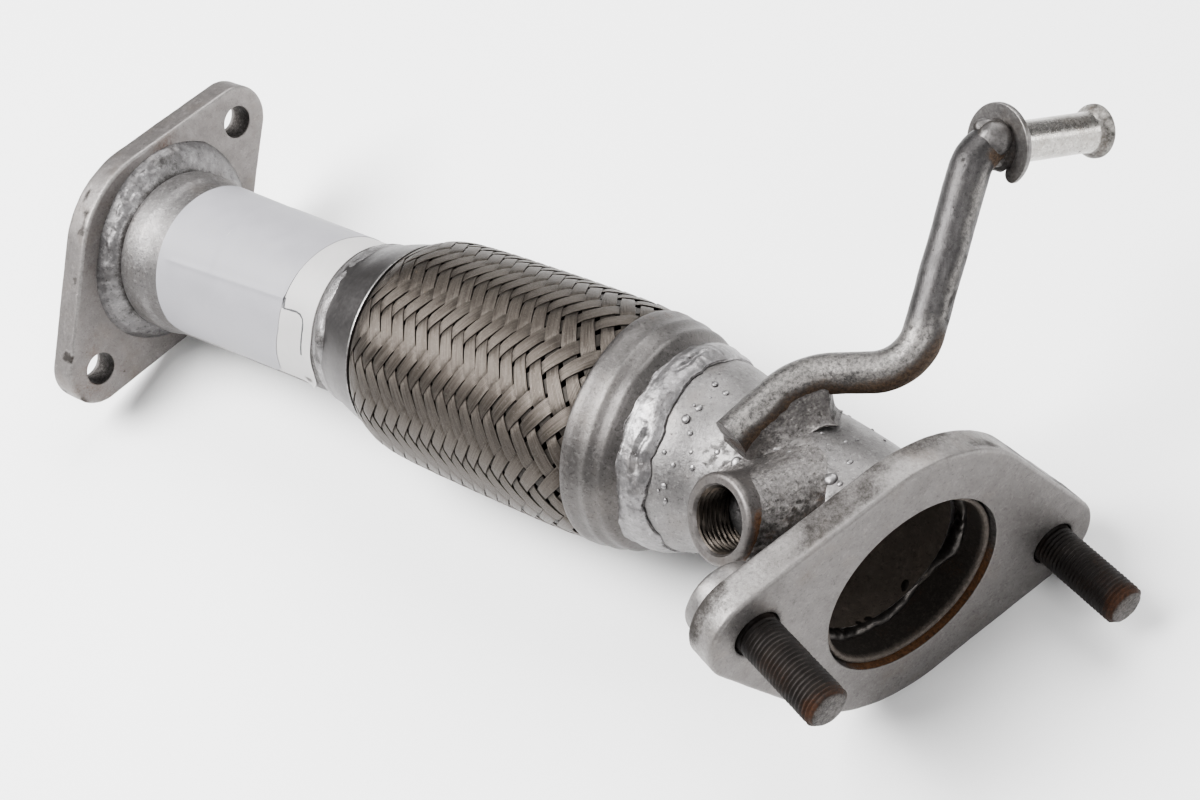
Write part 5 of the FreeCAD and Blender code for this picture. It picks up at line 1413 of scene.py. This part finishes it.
def washer():
    R, r, wr = 11.1, 5.5, 2.2
    cy = -math.sqrt((R - wr) ** 2 - (r + wr) ** 2)
    cx = r + wr
    ta = math.atan2(cy, cx)
    o = []
    for t in np.linspace(ta, math.pi - ta, 90):
        o.append((R * math.cos(t), R * math.sin(t)))
    for t in np.linspace(math.pi - ta, 2 * math.pi, 16)[1:]:
        o.append((-cx + wr * math.cos(t), cy + wr * math.sin(t)))
    for q in np.linspace(0, 1, 8)[1:]:
        o.append((-r, cy * (1 - q)))
    for t in np.linspace(math.pi, 0, 40)[1:]:
        o.append((r * math.cos(t), r * math.sin(t)))
    for q in np.linspace(0, 1, 8)[1:]:
        o.append((r, cy * q))
    for t in np.linspace(math.pi, 2 * math.pi + ta, 16)[1:-1]:
        o.append((cx + wr * math.cos(t), cy + wr * math.sin(t)))
    o = np.array(o)
    # drop doubled points
    keep = [0]
    for i in range(1, len(o)):
        if np.linalg.norm(o[i] - o[keep[-1]]) > 0.05:
            keep.append(i)
    o = o[keep]
    n = len(o)
    nx = np.roll(o, -1, 0) - np.roll(o, 1, 0)
    nrm = np.stack([nx[:, 1], -nx[:, 0]], -1)
    nrm /= np.linalg.norm(nrm, axis=1)[:, None]
    t2 = 0.75
    rows = [(0.28, t2), (0.07, t2 - 0.08), (0.0, t2 - 0.3), (0.0, -t2 + 0.3), (0.07, -t2 + 0.08), (0.28, -t2)]
    V = []
    for ins, z in rows:
        p = o - nrm * ins
        zz = np.full(n, z) + 0.10 * fbm(np.stack([p[:, 0], p[:, 1], 0 * p[:, 0]], -1), 9.0, 2, 3)
        V.append(WC + p[:, :1] * WA + p[:, 1:] * WB + zz[:, None] * PD)
    F = [q[::-1] for q in quads(len(rows), n, False, True).tolist()]
    k = len(rows) * n
    V = np.vstack(V)
    for ri, flip, z in ((0, False, t2), (len(rows) - 1, True, -t2)):
        loop = o - nrm * 0.28
        vo, eo, fo, *_ = delaunay_2d_cdt([Vector(p) for p in loop], [(i, (i + 1) % n) for i in range(n)], [], 1, 1e-6)
        Vf = np.array([(v.x, v.y) for v in vo])
        W = WC + Vf[:, :1] * WA + Vf[:, 1:] * WB + (z + 0.10 * fbm(np.stack([Vf[:, 0], Vf[:, 1], 0 * Vf[:, 0]], -1), 9.0, 2, 3))[:, None] * PD
        V = np.vstack([V, W])
        F += [[i + k for i in (list(f)[::-1] if flip else list(f))] for f in fo]
        k += len(W)
    return make("hanger_washer_look", V, F, M_WASHER, "hanger_washer", attrs={"rust": 0.25 * vnoise(V / 3.0, 5), "soot": 0.45 * (1 - smooth(6.0, 7.5, np.linalg.norm(np.cross(V - WC, PD), axis=1))), "wear": 0.5 * smooth(10.2, 11.0, np.linalg.norm(V - WC, axis=1))}, sharp=40)


washer()


def lumpy_ring(name, node, centre, axis, r0, r1, h0, h1, mat, seed, arc0=0.0, arc1=360.0, amp=0.5, attrs=None, slot="weld_steel"):
    """Bead round a bar: outer surface between radius r at two heights."""
    ax = np.array(axis, float)
    a = np.cross(ax, [0.3, 0.5, 0.8]); a /= np.linalg.norm(a)
    b = np.cross(ax, a)
    nseg = 96
    th = np.linspace(arc0 * DEG, arc1 * DEG, nseg, endpoint=False)
    s = np.linspace(0, 1, 14)
    V = []
    for q in s:
        h = h0 + (h1 - h0) * q
        r = r0 + (r1 - r0) * math.sin(q * math.pi / 2)
        p = centre + ax * h + np.cos(th)[:, None] * a * r + np.sin(th)[:, None] * b * r
        d = np.cos(th)[:, None] * a + np.sin(th)[:, None] * b
        l = (fbm(p, 3.0, 3, seed) * amp)[:, None] * smooth(0.0, 0.3, q)
        V.append(p + d * l)
    V.append(centre + ax * h1 + np.cos(th)[:, None] * a * 5.3 + np.sin(th)[:, None] * b * 5.3)
    V.append(centre + ax * h0 + np.cos(th)[:, None] * a * 5.3 + np.sin(th)[:, None] * b * 5.3)
    V = np.array(V)
    F = quads(len(V), nseg, True, True).tolist()
    Vv = V.reshape(-1, 3)
    return Vv, F


v, f = lumpy_ring("w", None, WC, PD, 5.55, 6.9, -3.0, -0.7, M_WELD, 5, amp=0.5)
parts = [(v, f, {"soot": 0.75 + 0 * v[:, 0], "rust": 0.4 * vnoise(v / 3.0, 7)})]
# where the dome stands, across and along the picture's own axes
RIGHT = np.array([0.77935525, -0.5358256, 0.32480197])
DOWN = np.array([0.30206607, 0.77545274, 0.55446293])
FWD = np.array([-0.54896401, -0.33401195, 0.76620789])
DOME = WC - PD * 3.2 + RIGHT * 0.4 - DOWN * 1.2 - FWD * 3.9
for c, rad, sd_, wr_ in ((DOME, (4.9, 4.7, 3.2), 1, 0.0), (DOME - DOWN * 3.4 - RIGHT * 1.5 + FWD * 2.6, (3.4, 2.6, 2.4), 2, 0.0), (DOME + DOWN * 4.6 + RIGHT * 1.0 + FWD * 2.4, (2.6, 2.2, 2.0), 3, 0.0)):
    bv, bf = blob(c, rad, np.array([RIGHT, DOWN, FWD]), 36, 24, sd_, 0.10)
    # darker towards the dome's outline as the camera sees it: painted shade
    e_ = np.linalg.norm(np.cross(bv - c, FWD), axis=1) / rad[0]
    parts.append((bv, bf, {"soot": 0.30 + 0.70 * smooth(0.78, 0.98, e_) + 0.3 * smooth(0.6, 0.8, vnoise(bv / 1.6, 4)), "wear": wr_ + 0.08 * vnoise(bv / 2.0, 9)}))
vv_, ff_, aa_ = join_meshes(parts)
make("hanger_washer_weld_look", vv_, ff_, M_WASHER, "hanger_washer_weld", attrs=aa_, sharp=60)


# weld between rod and pipe: rough fillets on both sides of the first leg
def drop(p, d, reach=12.0):
    """Slide points p along d until they meet the front tube."""
    h = np.zeros(len(p))
    for _ in range(40):
        cur = p + h[:, None] * d
        a = np.clip(np.arctan2(cur[:, 0] - XB, RB - cur[:, 1]), 0, 0.6)
        cc = np.stack([XB + RB * np.sin(a), RB * (1 - np.cos(a)), 0 * a], -1)
        tang = np.stack([np.cos(a), np.sin(a), 0 * a], -1)
        v = cur - cc
        v = v - (v * tang).sum(1)[:, None] * tang
        h = h + (np.linalg.norm(v, axis=1) - RE) * 0.8
        h = np.clip(h, -4, reach)
    return p + h[:, None] * d


def drop_each(p, d):
    return np.stack([drop(p[i:i + 1], d[i])[0] for i in range(len(p))])


def rod_weld():
    path = bent_path(ROD, ROD_R, 0.4)
    arc = np.concatenate([[0], np.cumsum(np.linalg.norm(np.diff(path, axis=0), axis=1))])
    tg, _, _ = sweep_frames(path)
    lo, hi = -2.4, 36.5
    st = np.arange(lo, hi, 0.40)
    P = np.stack([np.interp(np.maximum(st, 0), arc, path[:, i]) for i in range(3)], -1) + np.minimum(st, 0)[:, None] * tg[0]
    tgs = np.stack([np.interp(np.maximum(st, 0), arc, tg[:, i]) for i in range(3)], -1)
    a = np.clip((P[:, 0] - XB) / RB, 0, 0.6)
    cc = np.stack([XB + RB * np.sin(a), RB * (1 - np.cos(a)), 0 * a], -1)
    inn = cc - P
    inn = inn / np.linalg.norm(inn, axis=1)[:, None]
    sid = np.cross(tgs, inn)
    sid = sid / np.linalg.norm(sid, axis=1)[:, None]
    want = -np.sign((sid @ np.array([-0.95, -0.3, 0.0])).mean()) or 1.0
    sid = sid * want                       # towards the seen side
    reach_s = np.interp(st, [lo, 0, 8, 20, 28, 33, hi], [5.6, 7.2, 9.8, 9.6, 7.6, 6.2, 5.6])
    reach_f = np.interp(st, [lo, 0, 12, 30, hi], [5.2, 6.2, 7.5, 7.5, 5.5])
    taper = np.minimum(smooth(lo, lo + 4.6, st), 0.86 * smooth(34.2, 30.2, st) + 0.14 * smooth(hi, 32.0, st))
    fade = np.minimum(smooth(lo, lo + 2.6, st), smooth(hi, hi - 4.0, st))
    flank = 4.65
    rows, edge = [], []
    for side, reach in ((-1, reach_f), (1, reach_s)):
        qs = np.concatenate([np.linspace(1, 0, 22), [0.0]]) if side < 0 else np.linspace(0, 1, 34)
        for i, q in enumerate(qs):
            o = side * (flank + (reach - flank) * q)
            up = 5.35 * (0.46 if side > 0 else 0.0)
            foot = drop_each(P + o[:, None] * sid, inn)
            mid = drop_each(P + 0 * sid, inn)
            hc = np.linalg.norm(P - mid, axis=1)
            # height over the pipe, from the rod's flank down to nothing at the foot
            top = np.maximum(hc + up, 0.5) * (1 - q) ** 1.7 * taper
            n1 = fbm(foot, 4.0, 3, 501) * 1.1 + fbm(foot, 1.7, 3, 502) * 0.75 + fbm(foot, 0.8, 2, 503) * 0.25
            h = top + n1 * math.sin(min(1.0, 0.10 + q * 0.9) * math.pi) * (0.35 + 0.65 * taper) * fade + 0.25 * (1 - q) * fade - 0.35 * (q > 0.98) - 0.5 * (1 - fade)
            rows.append(foot - inn * h[:, None])
            edge.append(np.full(len(P), q))
        if side < 0:
            rows.pop(); edge.pop()
    # under side, inside the pipe wall
    for o in (11.0, 6.0, 0.0, -4.0, -6.5):
        oo = np.clip(o, -reach_f * 0.95, reach_s * 0.95)
        rows.append(drop_each(P + oo[:, None] * sid, inn) + inn * 0.8)
        edge.append(np.full(len(P), 1.0))
    V = np.stack(rows, 1)
    E = np.stack(edge, 1)
    n, c = V.shape[:2]
    F = quads(n, c, False, True).tolist()
    Vv = V.reshape(-1, 3)
    k = len(Vv)
    Vv = np.vstack([Vv, V[0].mean(0), V[-1].mean(0)])
    E = np.concatenate([E.ravel(), [1, 1]])
    for j in range(c):
        F.append([(j + 1) % c, j, k])
        F.append([(n - 1) * c + j, (n - 1) * c + (j + 1) % c, k + 1])
    high = smooth(0.45, 0.05, E)
    so = 0.06 + 0.55 * smooth(0.50, 0.8, vnoise(Vv / 1.1, 5)) * (0.35 + 0.65 * high) + 0.45 * smooth(0.16, 0.02, E)
    return make("hanger_rod_weld_look", Vv, F, M_WELD_ROUGH, "hanger_rod_weld", attrs={"soot": np.clip(so, 0, 1) * 0.85, "rust": 0.12 * vnoise(Vv / 3.0, 3) + 0.30 * smooth(0.2, 0.0, E) * smooth(0.5, 0.8, vnoise(Vv / 2.4, 33)), "wear": 0.55 * smooth(0.58, 0.75, vnoise(Vv / 0.8, 13))}, sharp=0)


rod_weld()


# ------------------------------------------------------------- weld spatter
def spatter():
    rng = np.random.RandomState(17)
    parts = []
    spots = SPOTS + [(rng.uniform(240, 285), rng.uniform(-170, 170), rng.uniform(0.2, 0.6)) for _ in range(110)]
    for i, (s, t, r) in enumerate(spots):
        ro = float(np.interp(s, [222, 240.0, 241.5, 243.5, 246, 249.1, 400], [27.8, 27.8, 27.6, 26.9, 26.15, 25.1, 25.1]))
        th = t * DEG
        c = elbow_pt(s, th, ro + r * 0.05)
        if np.linalg.norm(np.cross(c - B_O, B_DIR)) < 12.6 and (c - B_O) @ B_DIR > 0:
            continue
        nrm = elbow_pt(s, th, ro + 1.0) - elbow_pt(s, th, ro)
        a = np.cross(nrm, [1.0, 0.2, 0.1]); a /= np.linalg.norm(a)
        b = np.cross(nrm, a)
        bv, bf = blob(c, (r * rng.uniform(0.95, 1.4), r * 1.05, r * 0.55), np.array([a, b, nrm]), 12, 8, i, 0.15)
        # dark ring at the foot of each drop: painted shade
        parts.append((bv, bf, {"soot": np.full(len(bv), 0.0) + 0.9 * smooth(0.22, 0.02, ((bv - c) @ nrm) / r), "wear": 0.4 * smooth(0.25, 0.5, ((bv - c) @ nrm) / r)}))
    vv, ff, aa = join_meshes(parts)
    make("weld_spatter", vv, ff, M_WELD, None, attrs=aa, sharp=0)


SPOTS = [(242.6, -81.3, 1.2), (244.0, -90.6, 0.9), (243.2, -109.8, 1.0), (247.0, -108.6, 0.9), (245.2, -74.9, 0.8), (254.7, -70.8, 0.8),
         (248.9, -56.1, 0.9), (261.5, -70.1, 1.3), (266.3, -79.0, 1.1), (267.7, -70.1, 1.2), (240.7, -59.6, 0.7), (243.9, -54.3, 0.7),
         (242.7, -40.8, 0.9), (243.3, -31.6, 0.7), (232.0, -48.9, 0.7), (274.0, -90.0, 1.1), (269.6, -89.7, 1.0), (287.7, -107.4, 0.8),
         (288.1, -91.3, 1.7), (291.0, -92.2, 0.8), (276.8, -60.6, 0.9), (284.2, -55.8, 0.8), (272.5, -62.4, 0.8), (273.4, -77.1, 0.7),
         (279.5, -85.0, 0.6), (266.7, -63.1, 0.9)]
spatter()

# ---------------------------------------------------------- floor and lights
fl = bpy.data.meshes.new("floor")
g = 6.0
fl.from_pydata([(-g, -g, 0), (g, -g, 0), (g, g, 0), (-g, g, 0)], [], [(0, 1, 2, 3)])
floor = bpy.data.objects.new("floor", fl)
bpy.context.scene.collection.objects.link(floor)
kf = Nodes("pale_floor")
kf.bsdf.inputs["Base Color"].default_value = (0.90, 0.90, 0.90, 1)
kf.bsdf.inputs["Roughness"].default_value = 0.9
fl.materials.append(kf.mat)

world = bpy.data.worlds.new("studio")
bpy.context.scene.world = world
world.use_nodes = True
world.node_tree.nodes["Background"].inputs[0].default_value = (0.97, 0.98, 1.0, 1)
world.node_tree.nodes["Background"].inputs[1].default_value = 0.20

# camera of the photograph, in the pipe's frame
CAM = np.array([499.853, 180.671, -423.022])
C_RIGHT = np.array([0.77935525, -0.5358256, 0.32480197])
C_DOWN = np.array([0.30206607, 0.77545274, 0.55446293])
C_FWD = np.array([-0.54896401, -0.33401195, 0.76620789])


def light(name, pipe_dir, dist, size, power, color=(1, 1, 1), size_y=None):
    """Soft box; direction given in the camera's frame (right, up, towards the camera)."""
    d = C_RIGHT * pipe_dir[0] - C_DOWN * pipe_dir[1] - C_FWD * pipe_dir[2]
    d = ROT @ (d / np.linalg.norm(d))
    tgt = to_row([190, 0, 0])
    pos = tgt + d * dist
    if pos[2] < 0.12:
        pos[2] = 0.12
    la = bpy.data.lights.new(name, "AREA")
    la.shape = "RECTANGLE"
    la.size, la.size_y = size, size_y or size
    la.energy, la.color = power, color
    ob = bpy.data.objects.new(name, la)
    ob.matrix_world = Matrix.Translation(Vector(pos)) @ Vector(tgt - pos).to_track_quat("-Z", "Y").to_matrix().to_4x4()
    bpy.context.scene.collection.objects.link(ob)


light("key_left", (-0.85, 0.45, 0.60), 1.3, 0.85, 46.0)
light("top", (0.15, 1.0, 0.30), 1.3, 0.9, 16.0)
light("front_soft", (0.25, 0.0, 1.0), 1.5, 0.6, 9.0)
light("fill_right", (1.0, 0.25, 0.45), 1.3, 0.35, 4.0)

bpy.context.scene.view_settings.look = "AgX - Medium High Contrast"

cam = bpy.data.cameras.new("camera")
cam.sensor_fit = "HORIZONTAL"
cam.sensor_width = 36.0
cam.lens = 57.0
cam.clip_start, cam.clip_end = 0.01, 50
co = bpy.data.objects.new("camera", cam)
r_, u_, f_ = ROT @ C_RIGHT, -(ROT @ C_DOWN), ROT @ C_FWD
mw = Matrix(((r_[0], u_[0], -f_[0], 0), (r_[1], u_[1], -f_[1], 0), (r_[2], u_[2], -f_[2], 0), (0, 0, 0, 1)))
mw.translation = Vector(to_row(CAM))
co.matrix_world = mw
bpy.context.scene.collection.objects.link(co)
bpy.context.scene.camera = co
